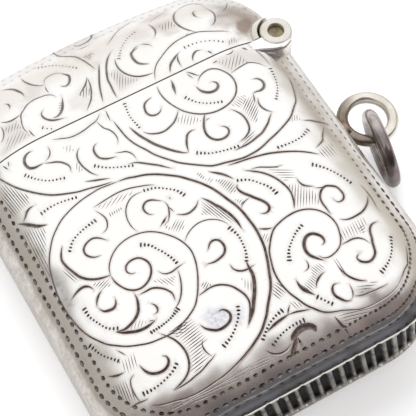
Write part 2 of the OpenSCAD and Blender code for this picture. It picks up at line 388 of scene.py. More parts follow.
def boundary(part):
    # edge of the flattened shell: mouth, hinge notch, then round by the joint with the other half
    f, r, pitch = shellForm, part["notch"], shellForm["edgePitch"]
    sign = 1.0 if part["lid"] else -1.0
    past = f["coreX"] + f["cornerR"] - f["hingeX"]
    first = 180.0 - math.degrees(math.asin(f["gap"] / r))
    last = math.degrees(math.acos(past / (crescentForm["inner"] + f["notchGap"] if part["lid"] else r)))
    turn = np.linspace(first, last, f["notchSteps"])
    reach = crescentEdge(turn) + f["notchGap"] if part["lid"] else np.full(len(turn), r)
    bend = np.radians(turn)
    notch = unroll(np.stack([f["hingeX"] + reach * np.cos(bend), sign * reach * np.sin(bend)], 1), part)
    mouth = line((-f["coreX"] - lengthC, sign * f["gap"]), notch[0], pitch)
    rim = perimeter(part, lengthC, pitch)
    core = coreOf(notch[-1:], part)
    away = notch[-1:] - core
    tip = core + away / np.hypot(away[0, 0], away[0, 1]) * lengthC
    keep = (sign * rim[:, 1] > sign * tip[0, 1] + f["tipGap"]) | (rim[:, 0] < 0)
    return np.concatenate([mouth[:-1], notch, line(notch[-1], tip[0], pitch)[1:], rim[keep][::-1][:-1]])


def toSegments(points, a, b):
    # distance from every point to every segment from a to b, and the share along it of the nearest place
    p, a, ab = points[:, None, :], a[None], (b - a)[None]
    t = np.clip(((p - a) * ab).sum(2) / np.maximum((ab ** 2).sum(2), 1e-12), 0.0, 1.0)
    return np.sqrt(((a + ab * t[..., None] - p) ** 2).sum(2)), t


def inset(points, loop):
    # distance from the edge of a loop, below zero outside it, by the even-odd test
    p = points[:, None, :]
    after = np.roll(loop, -1, 0)
    a, b = loop[None], after[None]
    spans = (a[..., 1] > p[..., 1]) != (b[..., 1] > p[..., 1])
    run = np.where(b[..., 1] == a[..., 1], 1.0, b[..., 1] - a[..., 1])
    crossX = a[..., 0] + (p[..., 1] - a[..., 1]) / run * (b[..., 0] - a[..., 0])
    within = (spans & (p[..., 0] < crossX)).sum(1) % 2 == 1
    apart = toSegments(points, loop, after)[0].min(1)
    return np.where(within, apart, -apart)


def inside(points, loop, margin):
    return inset(points, loop) > margin


def runOf(path, closeness=1.0):
    # running length of a path
    return np.concatenate([[0.0], np.cumsum(np.hypot(*np.diff(path, axis=0).T) * closeness)])


def smoothPath(points, pitch):
    # cubic through the points, by chord length, with central-difference tangents
    p = np.asarray(points, float)
    t = runOf(p)
    s = np.linspace(0.0, t[-1], max(4, int(t[-1] / pitch) + 1))
    if len(p) == 2:
        return p[0] + (p[1] - p[0]) * (s / t[-1])[:, None]
    slope = np.gradient(p, t, axis=0)
    k = np.clip(np.searchsorted(t, s, "right") - 1, 0, len(p) - 2)
    h = (t[k + 1] - t[k])[:, None]
    u = ((s - t[k]) / h[:, 0])[:, None]
    start = (1 + 2 * u) * (1 - u) ** 2 * p[k] + u * (1 - u) ** 2 * h * slope[k]
    return start + u ** 2 * (3 - 2 * u) * p[k + 1] + u ** 2 * (u - 1) * h * slope[k + 1]


def sideways(path):
    # unit directions to the left of a path
    way = np.gradient(path, axis=0)
    return np.stack([-way[:, 1], way[:, 0]], 1) / np.maximum(np.hypot(*way.T), 1e-9)[:, None]


# Engraving, read in plan: widest width, then the points of the stroke
bodyStrokes = [
    (0.2, [(-8.6, -17.05), (-9, -16.95), (-9.25, -16.6), (-9.1, -16.1), (-8.7, -15.83), (-8.2, -15.75),
        (-7.7, -15.85), (-7.3, -16.25), (-7.1, -16.8), (-7.2, -17.4), (-7.6, -18), (-8.2, -18.45),
        (-8.9, -18.65), (-9.5, -18.55), (-10, -18.2), (-10.4, -17.6), (-10.65, -16.9), (-10.7, -16.2)]),
    (0.16, [(-10.7, -16.2), (-10.5, -15.5), (-10, -14.8), (-9.3, -14.2), (-8.5, -13.8), (-7.5, -13.6),
        (-6.6, -13.65), (-5.7, -13.9), (-4.9, -14.4), (-4.3, -15), (-3.7, -15.8), (-3.3, -16.7),
        (-3.15, -17.5), (-3.3, -18.6), (-3.65, -19.6), (-4.2, -20.7), (-4.9, -21.8), (-5.6, -22.6),
        (-6.4, -23.1), (-7.3, -23.5), (-8.2, -23.8), (-9, -23.9), (-9.8, -23.85), (-10.8, -23.7),
        (-11.8, -23.3), (-12.7, -22.8), (-13.4, -22.2), (-14, -21.6), (-14.5, -20.8), (-15, -19.8),
        (-15.3, -18.8), (-15.5, -17.6), (-15.58, -16.5), (-15.55, -15), (-15.4, -14), (-15.2, -13),
        (-14.9, -12), (-14.5, -11.2), (-14, -10.5), (-13.4, -9.8), (-12.7, -9.25), (-12, -8.8),
        (-11, -8.4), (-10, -8.1), (-9, -7.88), (-8.25, -7.78), (-7.5, -7.7), (-6.5, -7.78), (-5.5, -7.87)]),
    (0.25, [(-5.5, -7.87), (-4.5, -8.03), (-4, -8.2), (-3, -8.5), (-2, -9), (-1, -9.7), (-0.3, -10.25),
        (0.3, -10.9), (0.9, -11.6), (1.4, -12.3), (1.8, -13), (2.1, -13.7), (2.45, -14.7), (2.75, -15.5),
        (2.95, -16.4), (3.05, -17.5), (3.1, -18.5), (3, -19.6), (2.85, -20.5), (2.6, -21.3),
        (2.3, -22.1), (1.9, -23), (1.4, -24.1), (1, -24.7), (0.5, -25.3), (0, -25.9), (-0.3, -26.3),
        (-0.9, -26.9), (-1.6, -27.5), (-2.5, -28), (-3.5, -28.45), (-4.5, -28.8), (-5.5, -29.1),
        (-6.5, -29.3), (-7.5, -29.4), (-8.75, -29.5), (-9.5, -29.5), (-10.5, -29.4), (-11.2, -29.2),
        (-12, -29), (-12.6, -28.8), (-13.2, -28.4)]),
    (0.2, [(-15.1, -0.4), (-14.75, -1.5), (-14.4, -2.3), (-14, -3.1), (-13.4, -4), (-12.8, -4.75),
        (-12.2, -5.4), (-11.5, -6), (-10.8, -6.4), (-10, -6.75), (-9.3, -7), (-8.25, -7.2),
        (-7.2, -7.45), (-6, -7.65)]),
    (0.15, [(-8.75, -9.2), (-8, -9.1), (-7, -8.98), (-6, -8.93), (-5, -9.05), (-4, -9.35), (-3.3, -9.6),
        (-2.7, -9.9)]),
    (0.13, [(-6.45, -13.45), (-6.65, -12.9), (-6.7, -12.3), (-6.6, -11.6), (-6.3, -10.9), (-5.8, -10.35),
        (-5.2, -10), (-4.6, -9.92), (-4.1, -9.95)]),
    (0.2, [(-4.35, -12.6), (-4.65, -12.4), (-4.85, -12), (-4.85, -11.6), (-4.6, -11.25), (-4.2, -11.08),
        (-3.8, -11.15), (-3.4, -11.4), (-2.95, -11.75)]),
    (0.16, [(-2.8, -11.9), (-2.72, -12.4), (-2.85, -12.9), (-3.1, -13.4), (-3.55, -14)]),
    (0.12, [(-2.7, -12.6), (-2.55, -13.3)]),
    (0.12, [(-2.15, -11.7), (-2.2, -12)]),
    (0.15, [(-4.4, -14.05), (-3.9, -13.7), (-3.3, -13.35)]),
    (0.2, [(-2.45, -13.65), (-2.1, -13.9), (-1.5, -14.1), (-0.9, -14), (-0.4, -13.75), (0, -13.35)]),
    (0.12, [(-3.2, -16.5), (-2.7, -16.05), (-2, -15.65), (-1.2, -15.45), (-0.5, -15.5), (0.3, -15.85),
        (0.8, -16.3), (1.05, -16.7), (1.15, -17)]),
    (0.22, [(-1.85, -18.35), (-1.6, -18.1), (-1.3, -17.8), (-0.9, -17.68), (-0.5, -17.85), (-0.3, -18.3),
        (-0.35, -18.9), (-0.7, -19.35), (-1.2, -19.55), (-1.8, -19.65), (-2.65, -19.5)]),
    (0.16, [(-6.75, -17.95), (-6.6, -18.25), (-6.3, -18.5), (-5.8, -18.6), (-5.2, -18.5), (-4.4, -18.37)]),
    (0.15, [(-5.15, -18.7), (-5.4, -19.6), (-5.8, -20.5), (-6.2, -21.1), (-6.7, -21.6), (-7.4, -22)]),
    (0.2, [(-9.4, -19.15), (-8.7, -19.15), (-8.1, -19.15), (-7.5, -19.45), (-7, -19.95), (-6.75, -20.5),
        (-6.85, -21.25)]),
    (0.2, [(-4.85, -21.9), (-4.3, -21.8), (-3.6, -21.7), (-3, -21.75), (-2.4, -22), (-1.8, -22.5),
        (-1.4, -23.2), (-1.15, -23.9), (-1.15, -24.6), (-1.4, -25.2), (-1.8, -25.8), (-2.3, -26.4)]),
    (0.2, [(-0.8, -20.6), (-0.75, -21.1), (-0.4, -21.55), (0.1, -21.75), (0.6, -21.75), (1.1, -21.7)]),
    (0.35, [(0.65, -21), (0.55, -21.8), (0.5, -22.4), (0.3, -23), (0, -23.6), (-0.3, -24.1),
        (-0.8, -24.8), (-1.3, -25.5), (-1.8, -26), (-2.35, -26.5)]),
    (0.28, [(0.4, -13.3), (0.8, -13.9), (1.1, -14.5), (1.4, -15), (1.6, -15.5), (1.85, -16.2), (2, -17),
        (2, -18)]),
    (0.28, [(-4.1, -24.15), (-3.7, -24.1), (-3.4, -24.35), (-3.25, -24.8), (-3.4, -25.2), (-3.8, -25.5),
        (-4.4, -25.65), (-5, -25.6), (-5.5, -25.3), (-5.9, -24.9), (-6.1, -24.4)]),
    (0.15, [(-6.6, -25.75), (-6.85, -26.1), (-6.9, -26.6), (-6.75, -27.1), (-6.55, -27.4)]),
    (0.15, [(-11, -28.4), (-10.3, -28.4), (-9.5, -28.35), (-8.75, -28.2), (-8, -28.05), (-7.2, -27.75),
        (-6.6, -27.55), (-6.2, -27.35)]),
    (0.2, [(-9.6, -23.4), (-9.2, -23.9), (-8.8, -24.5), (-8.55, -25.2), (-8.45, -26), (-8.6, -26.8),
        (-9, -27.5), (-9.6, -27.95), (-10.3, -28.2), (-11, -28.35)]),
    (0.28, [(-12.55, -25), (-12.4, -25.6), (-12.1, -26.1), (-11.6, -26.4), (-11, -26.5), (-10.5, -26.35),
        (-10.15, -25.95), (-10.15, -25.55), (-10.45, -25.3)]),
    (0.15, [(-13.35, -25.4), (-13.75, -25.55), (-14, -26), (-14.08, -26.6), (-14.05, -27.2),
        (-13.95, -27.7)]),
    (0.15, [(-14.85, -27.5), (-14.2, -27.6), (-13.6, -27.75), (-13.25, -27.8)]),
    (0.25, [(-15.25, -24.1), (-14.9, -24.4), (-14.5, -24.6), (-14, -24.7)]),
    (0.12, [(-13.55, -22.6), (-13.35, -23), (-13.1, -23.5)]),
    (0.12, [(-12.4, -29.6), (-11, -29.65), (-9.5, -29.65), (-8.25, -29.7), (-6.5, -29.68), (-5, -29.6),
        (-3.5, -29.5)]),
    (0.28, [(-9.7, -18.85), (-9.75, -19.4), (-9.95, -20), (-10.3, -20.6), (-10.8, -21), (-11.4, -21.25),
        (-12.1, -21.35), (-12.8, -21.1)]),
    (0.2, [(-8.9, -20.4), (-8.65, -20.75), (-8.6, -21.1), (-8.8, -21.45), (-9.1, -21.5)]),
    (0.3, [(-12.85, -21.1), (-12.4, -21.5), (-11.9, -21.8), (-11.3, -22.1), (-10.6, -22.25),
        (-9.9, -22.2), (-9.3, -22.05)]),
    (0.12, [(-9.9, -21.85), (-9.4, -22)]),
    (0.25, [(-14.65, -15.95), (-14.1, -15.75), (-13.6, -15.65), (-13.2, -15.7), (-12.85, -15.95),
        (-12.6, -16.45)]),
    (0.22, [(-12.05, -16.95), (-12.5, -17.2), (-12.9, -17.6), (-13.12, -18.05)]),
    (0.28, [(-13.05, -18.3), (-12.85, -18.75), (-12.4, -19), (-11.9, -19.05), (-11.55, -18.75),
        (-11.4, -18.35)]),
    (0.25, [(-13.05, -11.05), (-13.45, -11.6), (-13.7, -12.2), (-13.65, -12.9), (-13.4, -13.8),
        (-13.05, -14.7), (-12.5, -15.35), (-11.8, -15.8), (-11.2, -16), (-10.65, -16.1)]),
    (0.2, [(-10.5, -13.9), (-11, -13.8), (-11.4, -13.5), (-11.65, -13), (-11.55, -12.5), (-11.2, -12.2),
        (-10.8, -12.05), (-10.4, -12), (-10, -12.15), (-9.6, -12.5), (-9.3, -12.85)]),
    (0.15, [(-8.8, -9.6), (-8.5, -10.2), (-8.35, -10.8), (-8.45, -11.3), (-8.8, -11.8), (-9.3, -12)]),
    (0.35, [(-15.4, -6.4), (-14.9, -6.9), (-14.5, -7.35), (-14, -7.9), (-13.5, -8.2), (-13.2, -8.35)]),
    (0.25, [(-14.9, -6.6), (-14.5, -6.3), (-14.2, -6), (-13.9, -5.88), (-13.4, -5.9)]),
    (0.2, [(-8.2, -6.35), (-7.5, -6.65), (-6.8, -6.9), (-6, -7.2)]),
    (0.2, [(-3.7, -6.7), (-3, -6.95), (-2.4, -7.4), (-1.9, -7.8), (-1.4, -8.2), (-0.9, -8.7),
        (-0.45, -9.15)]),
    (0.15, [(-8.75, -0.75), (-8, -1.05), (-7.2, -1.35), (-6.5, -1.4), (-5.6, -1.3), (-4.8, -1.1),
        (-4.2, -0.95), (-3.7, -0.6), (-3.3, -0.15)]),
    (0.15, [(-4.2, -1), (-4.05, -1.6), (-3.9, -2.05), (-3.6, -2.4), (-3.4, -2.8), (-3.3, -3.3),
        (-3.35, -3.8), (-3.6, -4.3)]),
    (0.22, [(-5.3, -3.2), (-5.65, -3.35), (-5.9, -3.75), (-5.95, -4.2), (-5.8, -4.75), (-5.4, -5.1),
        (-4.9, -5.3), (-4.35, -5.4)]),
    (0.18, [(-6.95, -2.8), (-7.3, -3.1), (-7.55, -3.5), (-7.68, -4.1), (-7.65, -4.6), (-7.5, -5.2),
        (-7.2, -5.9), (-6.8, -6.4)]),
    (0.15, [(-4.3, -5), (-3.8, -5.2), (-3.3, -5.4), (-3, -5.75), (-2.85, -6.2), (-2.85, -6.6)]),
    (0.15, [(-2.8, -0.15), (-2.9, -0.8), (-3, -1.7)]),
    (0.3, [(-11, -0.85), (-11.4, -0.82), (-11.8, -1), (-12.1, -1.4), (-12.15, -1.85), (-12, -2.3),
        (-11.6, -2.55), (-11.1, -2.6), (-10.65, -2.6)]),
    (0.15, [(-10.4, -2.5), (-10, -2.35), (-9.65, -2), (-9.5, -1.6), (-9.5, -1.2)]),
    (0.2, [(-10.6, -2.65), (-10.1, -2.9), (-9.6, -3.1), (-9.2, -3.35), (-8.9, -3.7), (-8.7, -4.1),
        (-8.7, -4.4), (-8.85, -4.75)]),
    (0.15, [(-14, -0.4), (-13.85, -0.8), (-13.7, -1.2)]),
    (0.15, [(-13.35, -0.4), (-13.55, -0.95)]),
    (0.2, [(-2.75, -1.8), (-2.65, -3), (-2.5, -4.1), (-2.2, -5), (-1.9, -5.6), (-1.6, -6.1),
        (-1.2, -6.9), (-0.7, -7.6), (-0.2, -8.2), (0.4, -8.9), (1, -9.4), (1.8, -10), (2.5, -10.5),
        (3, -10.8), (3.5, -10.95), (4.2, -11.1), (5, -11.3), (6, -11.5), (7, -11.5), (7.6, -11.45),
        (8.25, -11.3), (9, -11.05), (10, -10.75), (11, -10.35), (11.8, -9.95), (12.5, -9.5), (13, -9),
        (13.4, -8.6), (13.9, -8.1), (14.3, -7.3), (14.6, -6.5), (14.8, -5.8), (14.9, -5)]),
    (0.28, [(-1.75, -3.15), (-1.55, -3.9), (-1.3, -4.6), (-1, -5.2), (-0.7, -5.8), (-0.3, -6.4),
        (0.05, -6.85), (0.5, -7.4), (1, -7.9), (1.5, -8.3), (1.75, -8.4)]),
    (0.22, [(3.55, -6.5), (3.1, -6.45), (2.7, -6.6), (2.3, -7.1), (2, -7.7), (1.8, -8.4)]),
    (0.2, [(-0.85, -4.3), (-0.5, -4.7), (0, -5), (0.4, -5.15), (1, -5.2), (1.6, -5.05), (2.2, -4.8),
        (2.7, -4.4), (3.2, -3.85)]),
    (0.22, [(1.75, -1.25), (1.2, -1.35), (0.75, -1.6), (0.5, -2.1), (0.45, -2.6), (0.65, -3),
        (1.1, -3.2), (1.5, -3.15), (1.8, -2.95), (1.95, -2.75)]),
    (0.18, [(6.5, -1.9), (6.8, -1.6), (7.2, -1.35), (7.7, -1.2), (8.25, -1.22), (8.8, -1.5),
        (9.25, -2.05), (9.55, -2.7), (9.65, -3.3), (9.5, -4.1), (9, -4.9), (8.3, -5.4), (7.5, -5.67),
        (6.8, -5.75), (6.1, -5.7), (5.4, -5.5), (4.8, -5.2), (4.2, -4.75), (3.6, -4.1), (3.2, -3.4),
        (2.9, -2.7), (2.7, -1.9), (2.65, -1.2), (2.75, -0.5), (2.85, -0.1)]),
    (0.3, [(4.3, -0.1), (4.3, -0.6), (4.15, -1.2), (4, -1.8), (3.9, -2.1)]),
    (0.18, [(6.05, -0.3), (6.4, -0.7), (6.7, -1.1), (7, -1.4)]),
    (0.12, [(6, -0.5), (6.15, -1), (6.35, -1.35)]),
    (0.3, [(6.05, -2.3), (6.2, -2.9), (6.5, -3.3), (6.9, -3.55), (7.3, -3.62), (7.75, -3.5), (8, -3.2),
        (7.95, -2.8), (7.6, -2.55)]),
    (0.25, [(5.3, -5.4), (4.95, -5.8), (4.7, -6.2), (4.45, -6.65), (4.3, -7.1), (4.25, -7.6),
        (4.4, -8.1), (4.75, -8.5), (5.3, -8.7), (5.8, -8.65), (6.2, -8.4), (6.35, -8), (6.2, -7.65),
        (5.9, -7.4)]),
    (0.12, [(4.9, -6.15), (5.4, -6.05)]),
    (0.22, [(5.7, -10.4), (6.3, -10.4), (7, -10.4), (7.7, -10.3), (8.3, -10.15), (8.9, -10),
        (9.5, -9.65), (10, -9.3), (10.4, -8.9), (10.85, -8.5)]),
    (0.2, [(6.6, -9.8), (7.2, -9.65), (7.7, -9.4), (8.1, -9), (8.3, -8.4), (8.35, -7.8), (8.25, -7.2),
        (8, -6.7), (7.7, -6.25)]),
    (0.2, [(4.3, -11.5), (5.2, -11.65), (6.2, -11.8), (7.2, -12), (8.2, -12.25), (9, -12.55),
        (9.9, -12.95), (10.9, -13.45), (11.8, -14), (12.5, -14.5)]),
    (0.2, [(5.4, -12.75), (6, -13.2), (6.6, -13.7), (7.1, -14.3), (7.5, -15), (7.75, -15.7),
        (7.9, -16.4), (7.9, -17), (7.7, -17.7), (7.3, -18.5)]),
    (0.15, [(6, -12.9), (6.7, -13.1), (7.4, -13.5), (8.1, -13.85), (8.75, -14)]),
    (0.25, [(2.35, -11.15), (2.8, -11.55), (3.3, -12), (3.7, -12.5), (4, -13)]),
    (0.28, [(4, -13.7), (3.8, -14), (3.85, -14.4), (4.1, -14.9), (4.4, -15.3), (4.7, -15.75),
        (5.1, -16.3), (5.35, -16.8), (5.35, -17.3), (5, -17.6), (4.6, -17.6), (4.35, -17.45)]),
    (0.13, [(3, -16.1), (3.4, -15.75), (3.9, -15.55), (4.3, -15.5)]),
    (0.2, [(3.3, -18.7), (3.7, -18.95), (4.1, -19.15), (4.5, -19.25)]),
    (0.15, [(10.4, -0.45), (10.7, -0.55), (11.1, -0.5), (11.5, -0.25), (11.7, -0.1)]),
    (0.15, [(8.8, -0.75), (9.4, -0.72)]),
    (0.25, [(12.2, -0.25), (12.5, -0.5), (12.8, -0.8)]),
    (0.15, [(13, -0.2), (13.4, -0.8), (13.7, -1.6), (13.85, -2.4), (13.9, -3.3)]),
    (0.15, [(9.75, -2.65), (10.4, -2.5), (11.2, -2.35), (12, -2.25), (12.6, -2.5), (13.1, -2.9),
        (13.4, -3.3)]),
    (0.28, [(11.3, -4.2), (11.7, -4.3), (12, -4.6), (12.05, -5.1), (11.8, -5.5), (11.3, -5.7),
        (10.8, -5.65), (10.45, -5.7)]),
    (0.15, [(10.45, -5.7), (10.3, -6.2), (10.05, -6.7)]),
    (0.2, [(10.6, -6.4), (10.4, -6.8), (10.35, -7.3), (10.5, -7.8), (10.8, -8.2), (11.05, -8.4)]),
    (0.22, [(13.35, -10.45), (13.9, -10.6), (14.4, -10.85), (15, -11.15), (15.6, -11.4)]),
    (0.2, [(12.75, -13.7), (13.3, -13.45), (13.8, -13.15), (14.1, -12.7), (14.5, -12.2), (14.9, -11.7)]),
    (0.18, [(6.65, -23.8), (6.9, -24.2), (7.4, -24.4), (7.9, -24.35), (8.4, -24.2), (8.9, -23.9),
        (9.3, -23.4), (9.6, -22.7), (9.8, -21.9), (9.75, -21.1), (9.4, -20.2), (8.9, -19.6),
        (8.2, -19.15), (7.6, -18.95), (7, -18.88), (6.2, -18.93), (5.4, -19.1), (4.6, -19.4), (4, -19.9),
        (3.5, -20.5), (3, -21.2), (2.6, -22.2), (2.35, -23), (2.22, -23.9), (2.25, -24.8), (2.45, -25.7),
        (2.8, -26.5), (3.2, -27.3), (3.7, -27.9), (4.3, -28.5), (5, -28.85), (5.8, -29.1), (6.6, -29.4),
        (7.4, -29.7), (8.25, -29.85), (9.2, -29.9), (10.2, -29.85), (11, -29.7), (11.8, -29.4),
        (12.3, -29.1), (12.8, -28.7), (13.3, -28.3), (13.8, -28), (14.1, -27.5), (14.4, -27),
        (14.6, -26.5)]),
    (0.32, [(7.5, -23.05), (7.85, -22.9), (7.95, -22.4), (7.7, -21.9), (7.2, -21.55), (6.7, -21.6),
        (6.3, -21.9), (6, -22.4), (5.9, -22.9), (6, -23.4), (6.3, -23.85), (6.85, -24.5)]),
    (0.35, [(3.6, -24.9), (3.6, -25.5), (3.75, -26), (4.1, -26.5), (4.4, -26.9)]),
    (0.2, [(4.8, -26.4), (5.1, -26), (5.5, -25.7), (6, -25.5), (6.3, -25.45)]),
    (0.15, [(5.4, -23.6), (5.4, -24), (5.2, -24.4), (4.7, -24.55)]),
    (0.25, [(6.75, -26.9), (6.4, -26.85), (6.05, -27.2), (6, -27.7), (6.3, -28.2), (6.7, -28.6),
        (7.15, -28.75)]),
    (0.12, [(7.1, -28.75), (7.5, -28.45), (7.65, -28.1), (7.7, -27.4)]),
    (0.18, [(7.6, -28.55), (8.1, -28.75), (9, -28.9), (9.8, -28.95), (10.5, -28.95), (11, -28.9)]),
    (0.2, [(7.65, -25.6), (7.75, -26.1), (8, -26.8), (8.35, -27.25), (8.75, -27.6), (9.3, -27.9)]),
    (0.18, [(9, -23.9), (9.6, -23.9), (10.3, -23.9), (10.8, -24.05), (11.2, -24.4), (11.45, -24.9)]),
    (0.25, [(13.4, -23.2), (12.8, -23.3), (12.4, -23.6), (12.15, -24), (11.95, -24.6), (11.75, -25),
        (11.6, -25.5), (11.4, -26), (11, -26.35), (10.5, -26.5), (10, -26.35), (9.65, -26), (9.6, -25.7),
        (10, -25.4)]),
    (0.2, [(9.15, -15.9), (9.15, -16.3), (9.3, -16.8), (9.6, -17.1), (10.1, -17.4)]),
    (0.22, [(11.05, -19.6), (11.15, -19.85), (11.5, -19.95), (11.9, -19.8), (12.15, -19.4),
        (12.15, -18.9), (12, -18.4), (11.6, -18.1), (11.1, -17.9), (10.6, -18.05), (10.2, -18.4),
        (9.95, -18.8), (9.85, -19.4), (9.88, -20), (9.9, -20.7)]),
    (0.12, [(10.05, -17.6), (10.5, -17.8), (11.1, -17.9)]),
    (0.2, [(10.4, -21.6), (10.8, -21.85), (11.4, -21.95), (12, -21.9), (12.7, -21.75), (13.3, -21.45),
        (13.8, -21.05), (14.3, -20.4)]),
    (0.15, [(14.4, -19), (14.5, -19.6), (14.55, -20.4), (14.5, -21.2), (14.4, -21.8)]),
    (0.28, [(-1.1, -27.75), (-0.4, -27.55), (0.3, -27.42), (0.9, -27.35), (1.5, -27.28)]),
    (0.18, [(1.2, -27.3), (2, -27.4), (2.7, -27.6), (3.4, -27.8)]),
    (0.15, [(1.25, -27.35), (1.5, -27), (1.9, -26.6)]),
    (0.28, [(-2, -29.05), (-1.85, -29.3), (-1.5, -29.65), (-1, -29.85), (-0.5, -29.88), (0, -29.75),
        (0.4, -29.5)]),
    (0.66, [(0.45, -29.32), (0.7, -29.2), (1, -29.05), (1.4, -28.9), (1.9, -28.83), (2.35, -28.9),
        (2.7, -29.08), (2.9, -29.3), (2.78, -29.6)]),
    (0.46, [(-0.15, -30.5), (0.3, -30.05), (0.65, -29.7), (1.05, -29.3)]),
    (0.24, [(1.12, -29.3), (1.13, -29.8), (1.13, -30.35)]),
    (0.32, [(5.05, -29.3), (5.2, -29.8), (5.35, -30.4), (5.58, -31.1)]),
]
lidStrokes = [
    (0.22, [(-8.05, 2.65), (-8.35, 2.4), (-8.4, 2), (-8.15, 1.5), (-7.8, 1.2), (-7.3, 1), (-6.65, 0.85)]),
    (0.25, [(-7.6, 1.4), (-7.2, 1.35), (-6.7, 1.55), (-6.3, 1.95), (-6.05, 2.4), (-5.75, 3.1)]),
    (0.18, [(-4.4, 0.5), (-3.9, 1), (-3.5, 1.4), (-3.2, 1.9), (-2.95, 2.4), (-2.75, 3), (-2.6, 3.9)]),
    (0.2, [(-4.3, 2.4), (-3.8, 2.75), (-3.2, 3.2), (-2.85, 3.6), (-2.6, 4)]),
    (0.2, [(-2.6, 0.6), (-2.45, 1.1), (-2.3, 1.6), (-2.1, 2.2), (-1.8, 2.9), (-1.4, 3.7), (-1, 4.5),
        (-0.75, 4.95)]),
    (0.22, [(-1.2, 0.4), (-1.15, 1.2), (-1.05, 2), (-1, 2.6), (-0.8, 3.2), (-0.5, 3.9), (-0.1, 4.6),
        (0.2, 5), (0.6, 5.4), (0.9, 5.65)]),
    (0.15, [(-9.8, 0.1), (-9.95, 0.3), (-10.15, 0.8), (-10.2, 1.4)]),
    (0.15, [(-10.35, 1), (-10.55, 1.6), (-10.5, 2.2), (-10.35, 2.7), (-10.05, 3.35), (-9.6, 3.7),
        (-9.1, 4.05), (-8.6, 4.22), (-8, 4.28), (-7.4, 4.22), (-7, 4.15), (-6.5, 3.85), (-6.2, 3.4)]),
    (0.2, [(-7.95, 7.9), (-7.9, 7.2), (-7.7, 6.6), (-7.4, 6.1), (-7, 5.7), (-6.65, 5.5), (-6.45, 5.55)]),
    (0.25, [(-5.25, 4.45), (-5.05, 4.2), (-4.7, 4.12), (-4.35, 4.35), (-4.1, 4.75), (-4, 5.15),
        (-4.15, 5.45), (-4.3, 5.65), (-4.5, 6)]),
    (0.13, [(-6.6, 4.2), (-6.65, 4.7), (-6.55, 5.3)]),
    (0.18, [(-3.5, 10.3), (-3.55, 9.6), (-3.5, 8.9), (-3.2, 8.3), (-2.6, 7.7), (-2.2, 7.2), (-1.95, 6.5),
        (-1.75, 5.8), (-1.55, 5), (-1.45, 4.4)]),
    (0.25, [(-1.4, 9.5), (-1.4, 9.1), (-1.1, 8.85), (-0.6, 8.8), (0, 8.95), (0.5, 9.3), (0.8, 9.9),
        (1.1, 10.6)]),
    (0.13, [(-1.8, 8.3), (-1, 8.15), (0, 8.2)]),
    (0.25, [(-10.2, 7.6), (-9.7, 7.3), (-9.3, 6.9), (-9, 6.3), (-8.8, 5.7), (-8.8, 5.2)]),
    (0.2, [(-10.8, 5.5), (-10.6, 5.3), (-10.55, 4.9), (-10.7, 4.6)]),
    (0.2, [(-12.1, 3.7), (-11.7, 3.4), (-11.2, 3.22), (-10.6, 3.25), (-10.1, 3.35)]),
    (0.18, [(-12.3, 3.3), (-12.3, 2.8), (-12.45, 2.3), (-12.7, 1.95), (-13.1, 1.7)]),
    (0.2, [(0.8, 4.6), (0.6, 4), (0.55, 3.4), (0.7, 2.7), (1.1, 2.05), (1.7, 1.55), (2.4, 1.28),
        (3.3, 1.15)]),
    (0.15, [(2.95, 0.2), (3.3, 1), (3.7, 1.6), (4.2, 2.05), (4.8, 2.4), (5.5, 2.8), (6.3, 3.15),
        (7, 3.35), (7.7, 3.42), (8.5, 3.42), (9.3, 3.3), (10, 3), (10.7, 2.65), (11.5, 2.3), (12.3, 1.9)]),
    (0.25, [(4.6, 0.2), (4.9, 0.8), (5.3, 1.3), (5.8, 1.6), (6.2, 1.85), (6.6, 2)]),
    (0.18, [(6, 0.1), (5.98, 0.7), (6.05, 1.3), (6.35, 1.9)]),
    (0.22, [(7.25, 0.25), (7.4, 0.75), (7.75, 1.15), (8.2, 1.32), (8.6, 1.15)]),
    (0.28, [(3.4, 2.3), (2.9, 2.55), (2.5, 2.9), (2.35, 3.4), (2.35, 3.9), (2.5, 4.35), (2.9, 4.55),
        (3.4, 4.7)]),
    (0.15, [(3.8, 4.9), (4.2, 4.7), (4.5, 4.4), (4.7, 4.1)]),
    (0.2, [(5.5, 5.05), (5.8, 5.4), (6, 5.9), (6, 6.5), (5.9, 7.1)]),
    (0.12, [(1.1, 6.9), (1.7, 7.3), (2.3, 7.8), (2.8, 8.15), (3.5, 8.5), (4.3, 8.75), (5, 8.95)]),
    (0.22, [(9.3, 7.35), (8.85, 7.05), (8.45, 6.5), (8.22, 5.7), (8.28, 5), (8.5, 4.4), (8.85, 3.85),
        (9.25, 3.4)]),
    (0.22, [(10.7, 6.1), (10.45, 6.05), (10.3, 5.7), (10.3, 5.3), (10.45, 5.05)]),
    (0.2, [(11.85, 5.9), (12.05, 5.4), (12.15, 4.9), (12, 4.3), (11.7, 3.8), (11.3, 3.45), (11, 3.35)]),
    (0.15, [(13.1, 4.75), (13.7, 5.15), (14.1, 5.6), (14.5, 6.1)]),
    (0.12, [(-6.5, 5.6), (-6.2, 6.1), (-5.5, 6.35), (-4.8, 6.2), (-4.3, 5.8)]),
    (0.12, [(9.2, 7.3), (9.8, 7.5), (10.6, 7.6), (11.2, 7.4), (11.7, 6.9), (11.9, 6.3)]),
    (0.12, [(2.5, 4.4), (3, 4.75), (3.6, 4.95)]),
    (0.2, [(9.1, 0.8), (9.3, 0.4), (9.4, 0.1)]),
]
